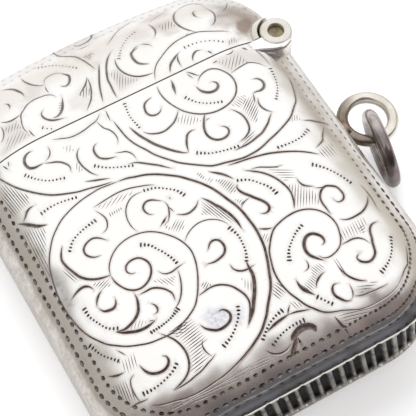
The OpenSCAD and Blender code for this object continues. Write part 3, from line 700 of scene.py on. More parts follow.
# Rows of short dashes: how many, then the row's path
bodyRows = [
    (12, [(-0.85, -12.2), (-1.2, -11.5), (-1.95, -10.8), (-2.85, -10.2), (-3.85, -9.95)]),
    (11, [(-6.6, -5.3), (-5.75, -6), (-4.8, -6.5), (-3.5, -7.05)]),
    (12, [(-6.85, -14.8), (-6.25, -15.15), (-5.7, -16), (-5.2, -16.95), (-4.9, -18)]),
    (11, [(-13.15, -7.05), (-12.1, -7), (-10.75, -7.2), (-9.7, -7.45)]),
    (12, [(-9.3, -10.5), (-10.75, -10.75), (-12, -11.2), (-12.7, -11.9)]),
    (12, [(-14.15, -17.5), (-14.15, -18.25), (-13.8, -19.3), (-13.15, -20.5), (-12.55, -20.9)]),
    (13, [(-7.05, -22.1), (-8.05, -22.55), (-9.1, -22.8), (-10.2, -22.9)]),
    (10, [(-15.3, -20.7), (-14.85, -22.1), (-13.9, -23.5)]),
    (12, [(-13.4, -27.25), (-12.35, -27.38), (-11.3, -27.25), (-10.3, -26.95), (-9.7, -26.55)]),
    (12, [(-5.2, -27.1), (-4.15, -26.65), (-3.3, -26), (-2.6, -25.2), (-2.3, -24.55)]),
    (10, [(1, -26.75), (0.25, -26.9), (-0.7, -27.3), (-1.8, -28.15)]),
    (11, [(2.35, -28.35), (1.2, -28.3), (-0.25, -28.55), (-1.2, -28.95)]),
    (10, [(-0.9, -0.6), (-1.12, -2), (-0.95, -3.65)]),
    (12, [(-12.65, -2.7), (-12.05, -3.6), (-11, -4.55), (-9.7, -5.05)]),
    (11, [(4.55, -2.9), (5.2, -3.85), (6.35, -4.65), (7.35, -5.05)]),
    (12, [(2.45, -8.85), (3.4, -9.45), (4.8, -9.9), (6.2, -10.15)]),
    (12, [(6.7, -16.3), (6.5, -15.5), (5.9, -14.6), (5.2, -13.8), (4.25, -13.35)]),
    (12, [(1.05, -17.3), (1.35, -18.3), (1.3, -19.3), (1.05, -20.35), (0.7, -21)]),
    (12, [(4.1, -22.9), (4.55, -22.05), (5.35, -21.3), (6.2, -20.7), (6.95, -20.4)]),
    (5, [(4.5, -27.15), (5.4, -28.25)]),
    (12, [(13.7, -3.65), (13.55, -4.65), (13.1, -5.95), (12.2, -7.2)]),
    (11, [(13.1, -11.6), (12, -12.1), (10.55, -12.25), (9.4, -12.15)]),
    (12, [(11.3, -15.3), (12.1, -16), (12.95, -17.15), (13.6, -18.45)]),
    (12, [(11, -27.8), (12, -27.3), (13.05, -26.35), (13.75, -25.15)]),
]
lidRows = [
    (12, [(-5.85, 8.35), (-4.6, 7.6), (-3.6, 6.55), (-2.9, 5.7)]),
    (12, [(1.15, 4.4), (2.05, 5.55), (3.15, 6.45), (4.2, 6.9)]),
    (10, [(7.35, 2.25), (8.4, 2.2), (9.9, 1.75), (11, 1.05)]),
    (4, [(-8.95, 0.9), (-8.4, 0.45), (-7.9, 0.2)]),
]
# Shaded patches: angle of the lines, pitch, darkness 0 to 1, then the patch's outline
bodyPatches = [
    (87, 0.17, 0.7, [(-15.6, -7.3), (-14.8, -7.2), (-13.6, -8.3), (-13.6, -8.8), (-14.2, -10.2),
        (-14.8, -11.3), (-15.1, -12.8), (-15.55, -13.2)]),
    (97, 0.16, 0.9, [(-15.1, -2), (-14.7, -1.9), (-13.6, -4.1), (-13.4, -4.6), (-13.5, -5.6),
        (-15.4, -5.7), (-15.6, -3.2)]),
    (-75, 0.16, 0.8, [(-14.2, -13), (-13.7, -12.8), (-13.2, -15), (-13.7, -15)]),
    (18, 0.17, 0.7, [(-12.6, -15.9), (-11.6, -16.1), (-10.8, -16.3), (-11.1, -17), (-12.3, -17)]),
    (45, 0.2, 0.4, [(-11.9, -21.45), (-10.3, -21.2), (-10, -21.8), (-10.8, -22.05), (-11.6, -21.8)]),
    (82, 0.16, 0.8, [(-15.4, -25), (-14.1, -25.2), (-14.2, -27.4), (-14.7, -27.4), (-15.2, -26.8)]),
    (75, 0.2, 0.5, [(-13.9, -23.6), (-12.3, -23.6), (-12.8, -25.1), (-13.9, -25.1)]),
    (10, 0.19, 0.8, [(-9.2, -23.55), (-6.4, -23.25), (-6.2, -24.3), (-6.2, -25.5), (-6, -26),
        (-6.7, -26.2), (-6.9, -26.9), (-6.6, -27.4), (-8.6, -28), (-9.2, -27.7), (-8.5, -26.8),
        (-8.3, -25.6), (-8.5, -24.6)]),
    (-20, 0.22, 0.6, [(-9, -23.55), (-6.8, -23.4), (-7.2, -24.4), (-8.5, -24.5)]),
    (-4, 0.17, 0.9, [(-12.4, -29), (-8.8, -29.75), (-3.9, -29.75), (-3.9, -30.1), (-9.5, -30.15),
        (-12, -29.6)]),
    (-5, 0.17, 1, [(-5.3, -29.75), (-3.4, -29.45), (-1.95, -29.35), (-1.6, -29.75), (-1.2, -30.1),
        (-5, -30.15)]),
    (-69, 0.18, 0.5, [(-7.7, -18.5), (-7.1, -18.5), (-6.4, -18.8), (-5.6, -19.1), (-6.2, -20),
        (-7.2, -19.2)]),
    (33, 0.16, 0.9, [(-4.2, -20.9), (-3.4, -20.9), (-3.2, -21.5), (-4.2, -21.7)]),
    (60, 0.2, 0.5, [(-0.6, -22.2), (0.2, -22.9), (-0.5, -24), (-0.9, -23.6)]),
    (33, 0.16, 0.9, [(-4.1, -13.7), (-3.5, -13.4), (-3.4, -13.9), (-4.1, -14.6)]),
    (80, 0.17, 0.9, [(-8, -10.4), (-6.25, -10.4), (-6.6, -10.75), (-7.9, -10.9)]),
    (30, 0.22, 0.4, [(-8.6, -9.3), (-6, -9.1), (-4.6, -9.5), (-6, -10), (-8.2, -9.9)]),
    (37, 0.17, 0.6, [(-4, -14.7), (-2.8, -14), (-2, -14.5), (-2.6, -15.3), (-3.3, -15.5)]),
    (-72, 0.17, 0.8, [(-0.5, -14.8), (0.2, -13.4), (1, -14.3), (1.6, -15.6), (1.9, -17.6), (1.3, -16.7),
        (0.4, -15.6)]),
    (-70, 0.19, 1.1, [(1.4, -24.2), (2.05, -24), (2.3, -25.6), (1.3, -25.9), (1, -24.9)]),
    (-70, 0.16, 0.6, [(5.4, -24.3), (6.3, -24.4), (6.5, -25.3), (5.6, -25.6), (4.9, -26.2), (4.4, -26.7),
        (4, -26.3), (3.8, -25.5), (5, -25.1)]),
    (-13, 0.19, 1.6, [(5.2, -29.15), (6, -29.3), (7.2, -29.75), (8.2, -29.98), (9.8, -30.05),
        (9.2, -30.4), (5.5, -30.3)]),
    (-74, 0.18, 0.6, [(1.9, -26.3), (2.5, -26.4), (3, -27.4), (2.2, -27.3)]),
    (-30, 0.2, 0.45, [(7.1, -13.6), (8.1, -13.9), (9.5, -15), (9.2, -15.9), (8, -15.6), (7.6, -14.6)]),
    (28, 0.16, 0.9, [(1.2, -10.8), (1.7, -10.8), (1.8, -11.5), (1.3, -11.6)]),
    (26, 0.19, 0.6, [(1.6, -11.7), (2.3, -11.8), (2.5, -12.1), (1.8, -12.3)]),
    (26, 0.17, 0.9, [(2.4, -12.2), (3.1, -12.4), (3.8, -13), (4, -13.5), (3.5, -14.3), (2.8, -14.3),
        (2.5, -13.3)]),
    (26, 0.17, 0.7, [(2.9, -14.9), (3.7, -15.3), (3.7, -15.5), (3.1, -15.9)]),
    (40, 0.17, 0.6, [(3, -19.7), (3.8, -19.3), (4, -19.6), (3.2, -20.5)]),
    (57, 0.2, 0.6, [(7.1, -18.6), (7.9, -17.2), (8.1, -16), (9.1, -16.3), (9.4, -17.1), (10, -17.7),
        (9.8, -18.7), (9.5, -19.4), (8.4, -18.9)]),
    (38, 0.17, 0.8, [(8.6, -8.5), (8.5, -7), (9.3, -5.8), (10.4, -5.9), (10.3, -7), (10, -7.7), (9, -8.8)]),
    (-70, 0.19, 0.5, [(7.9, -5.8), (8.9, -5.2), (9.8, -5.5), (9, -6.6), (8.6, -6.7)]),
    (50, 0.22, 0.4, [(2.5, -4.8), (3.4, -4.2), (4.5, -5.2), (4.6, -6), (3.3, -6), (2.4, -5.3)]),
    (97, 0.24, 0.9, [(12.6, -14), (13.5, -13.6), (14.5, -13.6), (14.2, -15.4), (12.7, -15.1)]),
    (60, 0.18, 0.6, [(11.9, -9.9), (13.1, -9.4), (13.1, -10.3), (12.1, -10.3)]),
    (80, 0.22, 0.5, [(10, -22.4), (12.6, -22.1), (12.4, -23.3), (11.4, -23.9), (9.4, -23.7), (9.3, -23.1)]),
    (10, 0.2, 0.8, [(11.1, -23), (12.2, -22.9), (12, -23.6), (11.4, -23.9)]),
    (-20, 0.18, 0.7, [(8.1, -27.9), (9.5, -28.15), (10.4, -28.3), (10, -28.7), (8.2, -28.6)]),
    (90, 0.17, 0.5, [(7.5, -24.6), (8, -24.6), (8, -27), (7.6, -26.8)]),
    (60, 0.22, 0.4, [(-8.3, -2), (-7.5, -1.9), (-7.5, -2.9), (-8.2, -2.9)]),
    (60, 0.18, 0.5, [(-8.3, -4.6), (-7.8, -3.9), (-7.8, -5.2), (-8.4, -5.3)]),
    (17, 0.17, 1, [(6.1, -10.3), (7.8, -9.4), (8.6, -9.4), (8.2, -9.9), (6.7, -10.35)]),
    (50, 0.24, 0.4, [(9.3, -0.9), (11.9, -0.7), (12, -2.2), (9.9, -2.5)]),
]
lidPatches = [
    (60, 0.2, 0.7, [(-4.2, 2.5), (-3, 3.4), (-2.9, 2.6), (-3.6, 1.7), (-4.2, 1.9)]),
    (-20, 0.2, 0.8, [(-6.7, 2.2), (-6.1, 2.9), (-5.9, 2.5), (-6.4, 1.6), (-6.9, 1.5)]),
    (60, 0.2, 0.2, [(-0.6, 3.3), (0.4, 3.4), (0.8, 2.2), (1.8, 1.1), (-0.6, 1)]),
    (30, 0.2, 0.7, [(-1.8, 6.8), (-0.5, 6.8), (-0.9, 6.3), (-1.4, 5.9)]),
    (40, 0.22, 0.1, [(-13.3, 0.6), (-12.3, 1.9), (-10.6, 1.9), (-10.3, 0.8), (-12.6, 0.4)]),
    (50, 0.2, 0.5, [(-12.3, 2.8), (-10.7, 3), (-10.7, 1.9), (-12.1, 2)]),
    (60, 0.22, 0.5, [(6.5, 5), (8, 5.2), (8, 6.5), (6.6, 6.2)]),
    (15, 0.17, 0.5, [(5.3, 7.4), (8.2, 8.2), (8.3, 7.9), (6.2, 7.4)]),
    (10, 0.17, 0.5, [(7.2, 3.6), (8.7, 3.8), (8.6, 3.5)]),
    (40, 0.17, 0.5, [(-1.3, 6.5), (-0.4, 6.9), (-0.6, 6.4)]),
    (60, 0.18, 0.5, [(11.2, 0.4), (12.4, 0.5), (12.3, 1.2), (11.6, 1)]),
    (50, 0.2, 0.5, [(12.2, 4.6), (13.5, 4.2), (13.2, 3.9), (12.1, 4)]),
]
# Tarnished grounds between the leaves: strength, then the outline
bodyGrounds = [
    (0.42, [(8.8, -0.4), (12.2, -0.3), (13.6, -1.6), (13.6, -3.2), (12.2, -2.3), (9.7, -2.6), (9.2, -1.6)]),
    (0.4, [(14, -3.2), (15, -1.9), (15.4, -4), (15.4, -9.6), (15.3, -14.6), (14.4, -12.6), (14.6, -10.4),
        (13.4, -9.9), (14.5, -7.4), (14.9, -5)]),
    (0.45, [(13.2, -28.4), (9.2, -29.3), (5, -29.5), (2.2, -29.2), (2.2, -30.2), (9, -30.2),
        (12.4, -29.8)]),
    (0.45, [(-13.2, -28.5), (-9.2, -29.4), (-4.5, -29.5), (-2, -29.1), (-2.2, -30.2), (-9, -30.2),
        (-12.4, -29.8)]),
    (0.4, [(0.3, -28.9), (1.2, -28.5), (2.8, -28.6), (4.4, -28.9), (5, -29.4), (5.2, -30.2), (0.2, -30.2)]),
    (-0.85, [(-5.7, -23.8), (-4.6, -23.4), (-3.4, -24), (-3.5, -25.2), (-4.4, -25.7), (-5.5, -25.3)]),
    (-0.6, [(-3.2, -24.6), (-2.2, -24.6), (-2, -25.6), (-2.9, -26.3), (-3.6, -26)]),
    (-0.7, [(-15.45, -12.8), (-15, -12.3), (-14.6, -14.4), (-14.7, -16.6), (-15.3, -16.8)]),
    (0.12, [(13.6, -11.4), (15, -11.9), (15.2, -15), (13.2, -15.2), (12.6, -13.6)]),
]
lidGrounds = [
    (0.4, [(-14.2, 0.3), (-12.4, 1.9), (-12.3, 3.2), (-10.5, 3.2), (-10.5, 1.8), (-10.1, 0.6),
        (-13.5, 0.2)]),
    (0.28, [(-10, 4), (-8.8, 5.2), (-8, 6.5), (-6.6, 5.4), (-6.7, 4.3), (-8, 4.45)]),
    (0.3, [(-5.6, 2.5), (-3.2, 3.5), (-2.7, 2.6), (-4.4, 0.8), (-5.9, 1.2)]),
    (0.45, [(-1.9, 6.9), (-0.4, 6.9), (-0.9, 6.3), (-1.4, 5.8)]),
    (0.45, [(-1.7, 5.2), (-0.5, 5.25), (-1.3, 4.4)]),
    (0.35, [(-0.6, 3.5), (0.5, 3.6), (0.9, 2.2), (2.2, 1.1), (-0.7, 0.7)]),
    (0.4, [(5.9, 6), (6.5, 4.3), (8.1, 4.2), (8.1, 6.5), (6.3, 6.7)]),
    (0.4, [(5.2, 8), (6.8, 8.5), (9, 8.3), (8.2, 7.3), (6, 7.4)]),
    (0.62, [(10.6, 3.4), (12.4, 4.9), (14.2, 5.6), (16.2, 5), (16.1, 2.8), (13, 1.9), (11.2, 3)]),
    (0.8, [(12.7, 1.2), (13.3, 2.7), (14.8, 3.9), (16.6, 4.1), (16.5, 2.2), (15, 2.1), (14.1, 1.4),
        (13.8, 0.7)]),
    (1.35, [(13.8, 3.2), (15.1, 3.3), (15.3, 2.2), (14.3, 1.3), (13.4, 1.1), (13.1, 2.1)]),
    (0.4, [(10.9, 0.2), (11.4, 1.1), (12.6, 1.3), (13.4, 0.6), (12.2, 0.2)]),
    (0.3, [(-3.4, 10.6), (-3.3, 8.8), (-2.2, 7.2), (-1.7, 8.2), (0.8, 8.2), (1.3, 9.4), (1.2, 10.8)]),
    (0.2, [(2.6, 7.2), (4.6, 7.4), (5.4, 6.2), (5.4, 5.2), (3.6, 5.6)]),
]

# Cuts: a stroke from broad on is a blunt groove, and finer ones run out to points; reach is the width of the
# brown edge beside a cut. Of pairs, the first is the least value and the second what is added to it, with
# strokes and dashes towards the foot of the case and with hatching by its darkness
cutLook = {"pathPitch": 0.16, "broad": 0.4, "steep": 0.75, "reach": 0.2, "foot": 16.0, "bluntRun": 0.35,
           "pointRun": 0.9, "fineTone": (0.58, 0.14), "broadTone": 0.68, "halo": (0.4, 0.3),
           "haloWidth": 0.22, "rubbed": 0.3, "brightWall": 0.85, "strokeMargin": 0.22}
dashLook = {"wide": (0.15, 0.06), "tone": (0.8, 0.2), "lidTone": 0.6, "long": (0.22, 0.34), "lastEnd": 0.6,
            "margin": 0.1}
hatchLook = {"spread": 1.35, "pitch": 0.3, "least": 0.18, "wide": (0.06, 0.035), "tone": (0.45, 0.4),
             "halo": 0.08, "margin": 0.15}
# Border: a row of dots and a row of dashes, each by distance from the flat, pitch, length and width.
# The right side is set in and rubbed, and marks stand closer and smaller round the lower right corner
borderLook = {"dots": (6.65, 0.84, 0.50, 0.38), "dashes": (7.75, 0.92, 0.68, 0.38), "pathPitch": 0.3,
              "sideX": 9.0, "sideCloser": 0.12, "sideShift": 0.28, "cornerX": 5.4, "cornerY": -24.5,
              "cornerCloser": 0.55, "cornerSize": 0.66, "lidTone": 0.24, "lidSize": 0.65, "margin": 0.4}


def strokeCut(path, width, tone, halo):
    # groove along a path: half-width swells to the middle and runs out to a point at both ends
    s = runOf(path)
    fine = width < cutLook["broad"]
    run = min(cutLook["pointRun"], 0.45 * s[-1]) if fine else cutLook["bluntRun"]
    taper = np.clip(np.minimum(s, s[-1] - s) / run, 0.0, 1.0) ** 0.6
    half = 0.5 * width * (0.72 + 0.28 * np.sin(math.pi * (s / s[-1]))) * taper
    bright = cutLook["brightWall"] if fine else 0.0
    return {"path": path, "half": half, "tone": tone, "halo": halo, "bright": bright}


def lensCut(middle, along, long, wide, tone):
    # short oval groove of given length and width
    t = np.linspace(-1.0, 1.0, 7)
    path = np.asarray(middle) + np.outer(t * long / 2, along)
    return {"path": path, "half": wide / 2 * np.sqrt(1 - t ** 2), "tone": tone, "halo": 0.25 * tone,
            "bright": 0.0}


def evenly(path, count, closeness=1.0):
    # places and directions along a path, spaced evenly, or nearer together where closeness is above 1
    s = runOf(path, closeness)
    at = np.linspace(0.0, s[-1], count)
    slopes = np.gradient(path, s, axis=0)
    places, ways = [np.stack([np.interp(at, s, side) for side in value.T], 1) for value in (path, slopes)]
    return places, ways / np.hypot(ways[:, 0], ways[:, 1])[:, None]


def patchLines(angle, pitch, outline):
    # parallel lines at an angle, cut off by the outline
    turn = math.radians(angle)
    way = np.array([math.cos(turn), math.sin(turn)])
    side = np.array([-way[1], way[0]])
    loop = np.asarray(outline, float)
    u, v = loop @ way, loop @ side
    u2, v2 = np.roll(u, -1), np.roll(v, -1)
    for at in np.arange(v.min() + pitch / 2, v.max(), pitch):
        spans = (v > at) != (v2 > at)
        hits = np.sort((u + (at - v) / np.where(v2 == v, 1.0, v2 - v) * (u2 - u))[spans])
        for first, last in zip(hits[::2], hits[1::2]):
            if last - first > hatchLook["least"]:
                yield np.stack([way * first + side * at, way * last + side * at])


def drawn(points, part, pitch):
    # smooth path through plan points, on the flattened shell
    return unroll(smoothPath(points, pitch), part)


def cutStrokes(part, strokes, loop):
    # leaves and scrolls, darker and browner towards the foot, and rubbed at the right
    c = cutLook
    for width, points in strokes:
        path = drawn(points, part, c["pathPitch"])
        path = path[inside(path, loop, c["strokeMargin"])]
        if len(path) > 3:
            middle = path.mean(0)
            low = np.clip(-middle[1] / c["foot"], -0.15, 1.0)
            rubbed = fade(middle[0], 10.5, 3.0) * fade(middle[1], -17.0, 4.0)
            fine = (c["fineTone"][0] + c["fineTone"][1] * low) * (1.0 - c["rubbed"] * rubbed)
            tone = fine if width < c["broad"] else c["broadTone"]
            halo = (c["halo"][0] + c["halo"][1] * low) * min(1.0, width / c["haloWidth"])
            yield strokeCut(path, width, tone, halo)


def cutRows(part, rows, loop):
    # dashes across a row's path, growing by the squared distance from its middle, and more to its start
    d = dashLook
    for count, points in rows:
        places, ways = evenly(drawn(points, part, cutLook["pathPitch"]), count)
        for k, (place, way) in enumerate(zip(places, ways)):
            ends = abs(2.0 * k / (count - 1) - 1.0) ** 2
            low = np.clip(-place[1] / cutLook["foot"], 0.0, 1.0)
            swell = ends * (1.0 if 2 * k < count else d["lastEnd"])
            size = (d["long"][0] + d["long"][1] * swell) * (0.75 + 0.25 * low)
            tone = d["lidTone"] if part["lid"] else d["tone"][0] + d["tone"][1] * low
            dash = lensCut(place, (-way[1], way[0]), size, d["wide"][0] + d["wide"][1] * low, tone)
            if inside(dash["path"], loop, d["margin"]).all():
                yield dash


def cutPatches(part, patches, loop):
    # hatching, with wider and darker lines in the darker patches
    h = hatchLook
    for angle, pitch, dark, outline in patches:
        for ends in patchLines(angle, h["spread"] * pitch, outline):
            path = drawn(ends, part, h["pitch"])
            if inside(path, loop, h["margin"]).all():
                width, tone = [low + more * dark for low, more in (h["wide"], h["tone"])]
                yield strokeCut(path, width, tone, h["halo"] * dark)


def cutBorder(part, loop):
    # marks along two contours, spaced evenly by a running length that is raised where they stand closer
    b = borderLook
    for at, pitch, long, wide in (b["dots"], b["dashes"]):
        path = perimeter(part, at, b["pathPitch"])
        x, y = ((path[1:] + path[:-1]) / 2).T
        corner = (x > b["cornerX"]) & (y < b["cornerY"])
        closeness = 1.0 + b["sideCloser"] * (x > b["sideX"]) + b["cornerCloser"] * corner
        places, ways = evenly(path, int(runOf(path, closeness)[-1] / pitch), closeness)
        places[:, 0] -= b["sideShift"] * fade(places[:, 0], b["sideX"], 5.0)
        fit = inside(places, loop, b["margin"])
        for place, way in zip(places[fit], ways[fit]):
            rubbed = fade(place[0], b["sideX"], 4.0) * fade(place[1], -21.0, 6.0)
            tone = b["lidTone"] if part["lid"] else 1.0 - 0.5 * rubbed
            size = b["lidSize"] if part["lid"] else 1.0 - 0.35 * rubbed
            tight = b["cornerSize"] if place[0] > b["cornerX"] and place[1] < b["cornerY"] else 1.0
            yield lensCut(place, way, long * size * tight, wide * size * math.sqrt(tight), tone)


def engraving(part, strokes, rows, patches):
    # all cuts of one face, as far as they lie inside the edge of its shell
    loop = boundary(part)
    return list(chain(cutStrokes(part, strokes, loop), cutRows(part, rows, loop),
                      cutPatches(part, patches, loop), cutBorder(part, loop)))


def nearCuts(points, cuts, reach):
    # each cut's number, the points near it, and how far these lie within its edge, below zero beyond it
    order = np.argsort(points[:, 0])
    sortedX = points[order, 0]
    for number, cut in enumerate(cuts):
        path, half = cut["path"], cut["half"]
        margin = half.max() + reach
        low, high = path.min(0) - margin, path.max(0) + margin
        near = order[np.searchsorted(sortedX, low[0]):np.searchsorted(sortedX, high[0])]
        near = near[(points[near, 1] > low[1]) & (points[near, 1] < high[1])]
        if len(near):
            apart, t = toSegments(points[near], path[:-1], path[1:])
            wide = half[:-1] * (1 - t) + half[1:] * t
            yield number, near, (wide - apart).max(1)


def depthAt(points, cuts):
    # greatest groove depth at each point, even from the middle line to the edge, and which cut gives it
    depth = np.zeros(len(points))
    which = np.full(len(points), -1)
    for number, near, within in nearCuts(points, cuts, 0.0):
        gain = within * cutLook["steep"]
        better = gain > np.maximum(depth[near], 1e-6)
        depth[near[better]] = gain[better]
        which[near[better]] = number
    return depth, which


def shadeAt(points, cuts, grounds, part):
    # soft brown beside each cut, falling to nothing over the reach, and over the shaded grounds;
    # a ground of strength below zero is a bloom
    shade, bloom = np.zeros((2, len(points)))
    for number, near, within in nearCuts(points, cuts, cutLook["reach"]):
        closeness = np.clip(1.0 + within / cutLook["reach"], 0.0, 1.0)
        shade[near] = np.maximum(shade[near], cuts[number]["halo"] * closeness)
    for tone, outline in grounds:
        loop = unroll(outline, part)
        near = np.flatnonzero(((points > loop.min(0) - 0.2) & (points < loop.max(0) + 0.2)).all(1))
        if len(near):
            full = abs(tone) * np.clip(0.4 + inset(points[near], loop) / 0.5, 0.0, 1.0)
            layer = bloom if tone < 0 else shade
            layer[near] = np.maximum(layer[near], full)
    return shade, bloom


# Mesh of the shells: pitches over the flat and along the contours, and the contours of the side and band
sheetForm = {"engraved": (0.45, 0.55), "plain": (1.2, 0.55), "inner": (2.4, 1.4), "shoulderEnd": 7.2,
             "sideRings": (8.3, 8.8, 9.3, 9.8), "bandRing": 10.9, "besideMouth": 0.11, "margin": 0.1,
             "leastHalo": 0.3, "seam": 0.02}


def atSeam(flat):
    return np.abs(flat[:, 1]) < shellForm["gap"] + sheetForm["seam"]


def sheetPoints(part, loop, flatPitch, ringPitch):
    # points over the flattened shell: a grid on the flat and contours over the shoulder and side
    f, x = sheetForm, shellForm["coreX"]
    low, high = loop[:, 1].min(), loop[:, 1].max()
    gx, gy = np.meshgrid(np.arange(-x, x + 0.01, flatPitch), np.arange(low, high, flatPitch))
    grid = np.stack([gx.ravel(), gy.ravel()], 1)
    grid = grid[np.hypot(*(grid - coreOf(grid, part)).T) < 1e-6]
    shoulder = np.arange(flatPitch, f["shoulderEnd"], flatPitch)
    rings = [0.0, *shoulder, lengthA, *f["sideRings"], lengthB, f["bandRing"]]
    mouth = loop[atSeam(loop)]
    beside = mouth + (0.0, f["besideMouth"] if part["lid"] else -f["besideMouth"])
    points = np.concatenate([grid, beside] + [perimeter(part, a, ringPitch) for a in rings])
    return points[inside(points, loop, f["margin"])]


def besideCuts(cuts, loop):
    # rows of points just beyond each stroke, where its brown edge has run out
    rows = [np.zeros((0, 2))]
    for cut in cuts:
        path, half = cut["path"][::2], cut["half"][::2]
        if cut["halo"] >= sheetForm["leastHalo"] and len(path) > 2:
            out = sideways(path) * (half + cutLook["reach"])[:, None]
            rows += [path + out, path - out]
    points = np.concatenate(rows)
    return points[inside(points, loop, sheetForm["margin"])]


def triangulate(loop, extra, cuts):
    # constrained triangles over the flattened shell, with each groove's middle and edges as lines
    places = [loop]
    count = len(loop)
    edges = [np.stack([np.arange(count), (np.arange(count) + 1) % count], 1)]
    for cut in cuts:
        path = cut["path"]
        out = sideways(path) * cut["half"][:, None]
        n = len(path)
        middle = count + np.arange(n)
        left = np.concatenate([middle[:1], count + n + np.arange(n - 2), middle[-1:]])
        right = np.concatenate([middle[:1], count + 2 * n - 2 + np.arange(n - 2), middle[-1:]])
        places += [path, (path + out)[1:-1], (path - out)[1:-1]]
        edges += [np.stack([run[:-1], run[1:]], 1) for run in (middle, left, right)]
        count += 3 * n - 4
    places = np.concatenate(places + [extra]).tolist()
    done = delaunay_2d_cdt(places, np.concatenate(edges).tolist(), [], 1, 1e-5, True)
    flat = np.array(done[0])
    faces = np.array(done[2])
    owner = np.repeat(np.arange(len(flat)), np.fromiter(map(len, done[3]), int))
    given = np.fromiter(chain.from_iterable(done[3]), int)
    rim = np.zeros(len(loop), int)
    rim[given[given < len(loop)]] = owner[given < len(loop)]
    # faces with all corners on the edge may lie outside it, or be slivers along it
    onRim = np.zeros(len(flat), bool)
    onRim[rim] = True
    doubtful = onRim[faces].all(1)
    keep = ~doubtful
    keep[doubtful] = inside(flat[faces[doubtful]].mean(1), loop, 0.001)
    return flat, faces[keep], rim


def newMesh(name, places, faces, *materials):
    # smooth mesh from places in millimetres
    mesh = bpy.data.meshes.new(name)
    mesh.from_pydata(toRow(places).tolist(), [], faces)
    mesh.polygons.foreach_set("use_smooth", np.ones(len(faces), bool))
    for material in materials:
        mesh.materials.append(material)
    return mesh


def paint(mesh, name, values, domain="POINT", kind="FLOAT"):
    # values that the mesh carries under a name
    mesh.attributes.new(name, kind, domain).data.foreach_set("value", np.ravel(values))


def addPiece(mesh, body, node):
    # a piece of this mesh, on its body, in place of its solid
    piece = bpy.data.objects.new(mesh.name, mesh)
    bpy.context.scene.collection.objects.link(piece)
    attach(piece, body)
    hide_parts(node)


def facing(corners):
    # unit normals of triangles
    across = np.cross(corners[:, 1] - corners[:, 0], corners[:, 2] - corners[:, 0])
    return across / np.maximum(np.linalg.norm(across, axis=1), 1e-12)[:, None]


# Flat ear beside the hinge, level with the knuckle's end, its edge rounded over, its wall with painted
# shadow.
# The upper outline runs along the seam and the knuckle to the tip, and the lower one back
earForm = {"top": 5.2, "low": 2.2, "round": 0.42, "shadowedBelowTop": 0.5, "pitch": 0.12,
           "turns": (90.0, 70.0, 50.0, 30.0, 10.0, 0.0),
           "upper": [(12.4, -0.06), (13.2, -0.06), (14.0, -0.06), (14.84, -0.06), (14.9, -0.55),
                     (15.2, -1.08), (15.7, -1.5), (16.3, -1.68), (16.9, -1.64), (17.3, -1.47)],
           "lower": [(17.3, -1.47), (17.42, -1.6), (17.1, -1.9), (16.65, -2.12), (16.2, -2.2),
                     (15.7, -2.14), (15.1, -1.95), (14.4, -1.62), (13.4, -1.22), (12.4, -0.85)]}


def level(plan, high):
    # plan points at one height
    return np.column_stack([plan, np.full(len(plan), high)])


def earBlock():
    # rings of the outline; the lower edge is rounded over, and the edges at the seam and knuckle stay upright
    e = earForm
    plan = smoothPath(e["lower"], e["pitch"])
    last = len(e["upper"]) - 1
    along = np.linspace(0, last, len(plan))
    upper = np.stack([np.interp(along, np.arange(last + 1), side) for side in zip(*e["upper"])], 1)[::-1]
    rings = [level(upper, e["top"])]
    for turn in np.radians(e["turns"]):
        share = e["round"] * (1 - math.cos(turn)) / np.maximum(np.hypot(*(upper - plan).T), 1e-6)
        edge = plan + (upper - plan) * np.minimum(share, 0.9)[:, None]
        rings.append(level(edge, e["top"] - e["round"] * (1 - math.sin(turn))))
    rings += [level(plan, e["low"]), level(upper, e["low"])]
    count, n = len(rings), len(plan)
    ring, k = np.meshgrid(np.arange(count), np.arange(n - 1), indexing="ij")
    high, low = (ring * n + k).ravel(), ((ring + 1) % count * n + k).ravel()
    # the blunt end is a fan, and the last strip fans out to every ring where the outline comes to a point
    tip, end = np.arange(count) * n, np.arange(count) * n + n - 1
    strips = np.delete(np.stack([high, high + 1, low], 1), (count - 1) * (n - 1), 0)
    faces = np.concatenate([strips, np.stack([high + 1, low + 1, low], 1),
                            np.stack([np.full(count - 2, end[0]), end[2:], end[1:-1]], 1),
                            np.stack([np.full(count - 1, tip[-1] + 1), tip[:-1], tip[1:]], 1)])
    places, merged = np.unique(np.concatenate(rings).round(6), axis=0, return_inverse=True)
    faces = merged.ravel()[faces]
    return places, faces[(faces != np.roll(faces, 1, 1)).all(1)]


# Wear, partly painted shade for darker reflections: where it starts and the span over which it grows
# outwards, how much the shoulder has, and the brown painted shade by the seam's gap. A groove's wall stays
# bright if it faces up by more than upward, low on the case
wearAndShadeLook = {"side": (lengthA - 0.1, 0.7), "shoulder": (5.4, 1.2), "shoulderMost": 0.3, "seam": 0.4,
            "upward": 0.12, "bright": (28.4, 0.8)}


def wearAndShadeAt(flat, part):
    # handling wear, and painted shade where the surface reflects darker: both sides from the shoulder's end
    # on, and faintly the right part of the shoulder
    w = wearAndShadeLook
    away = flat - coreOf(flat, part)
    far = np.hypot(*away.T)
    across = away[:, 0] / np.maximum(far, 1e-9)
    sides = fade(far, *w["side"]) * np.clip(1.4 * np.abs(across) - 0.1, 0.0, 1.0)
    shoulder = fade(far, *w["shoulder"]) * np.clip(1.6 * across - 0.3, 0.0, 1.0)
    return np.maximum(sides, w["shoulderMost"] * shoulder)


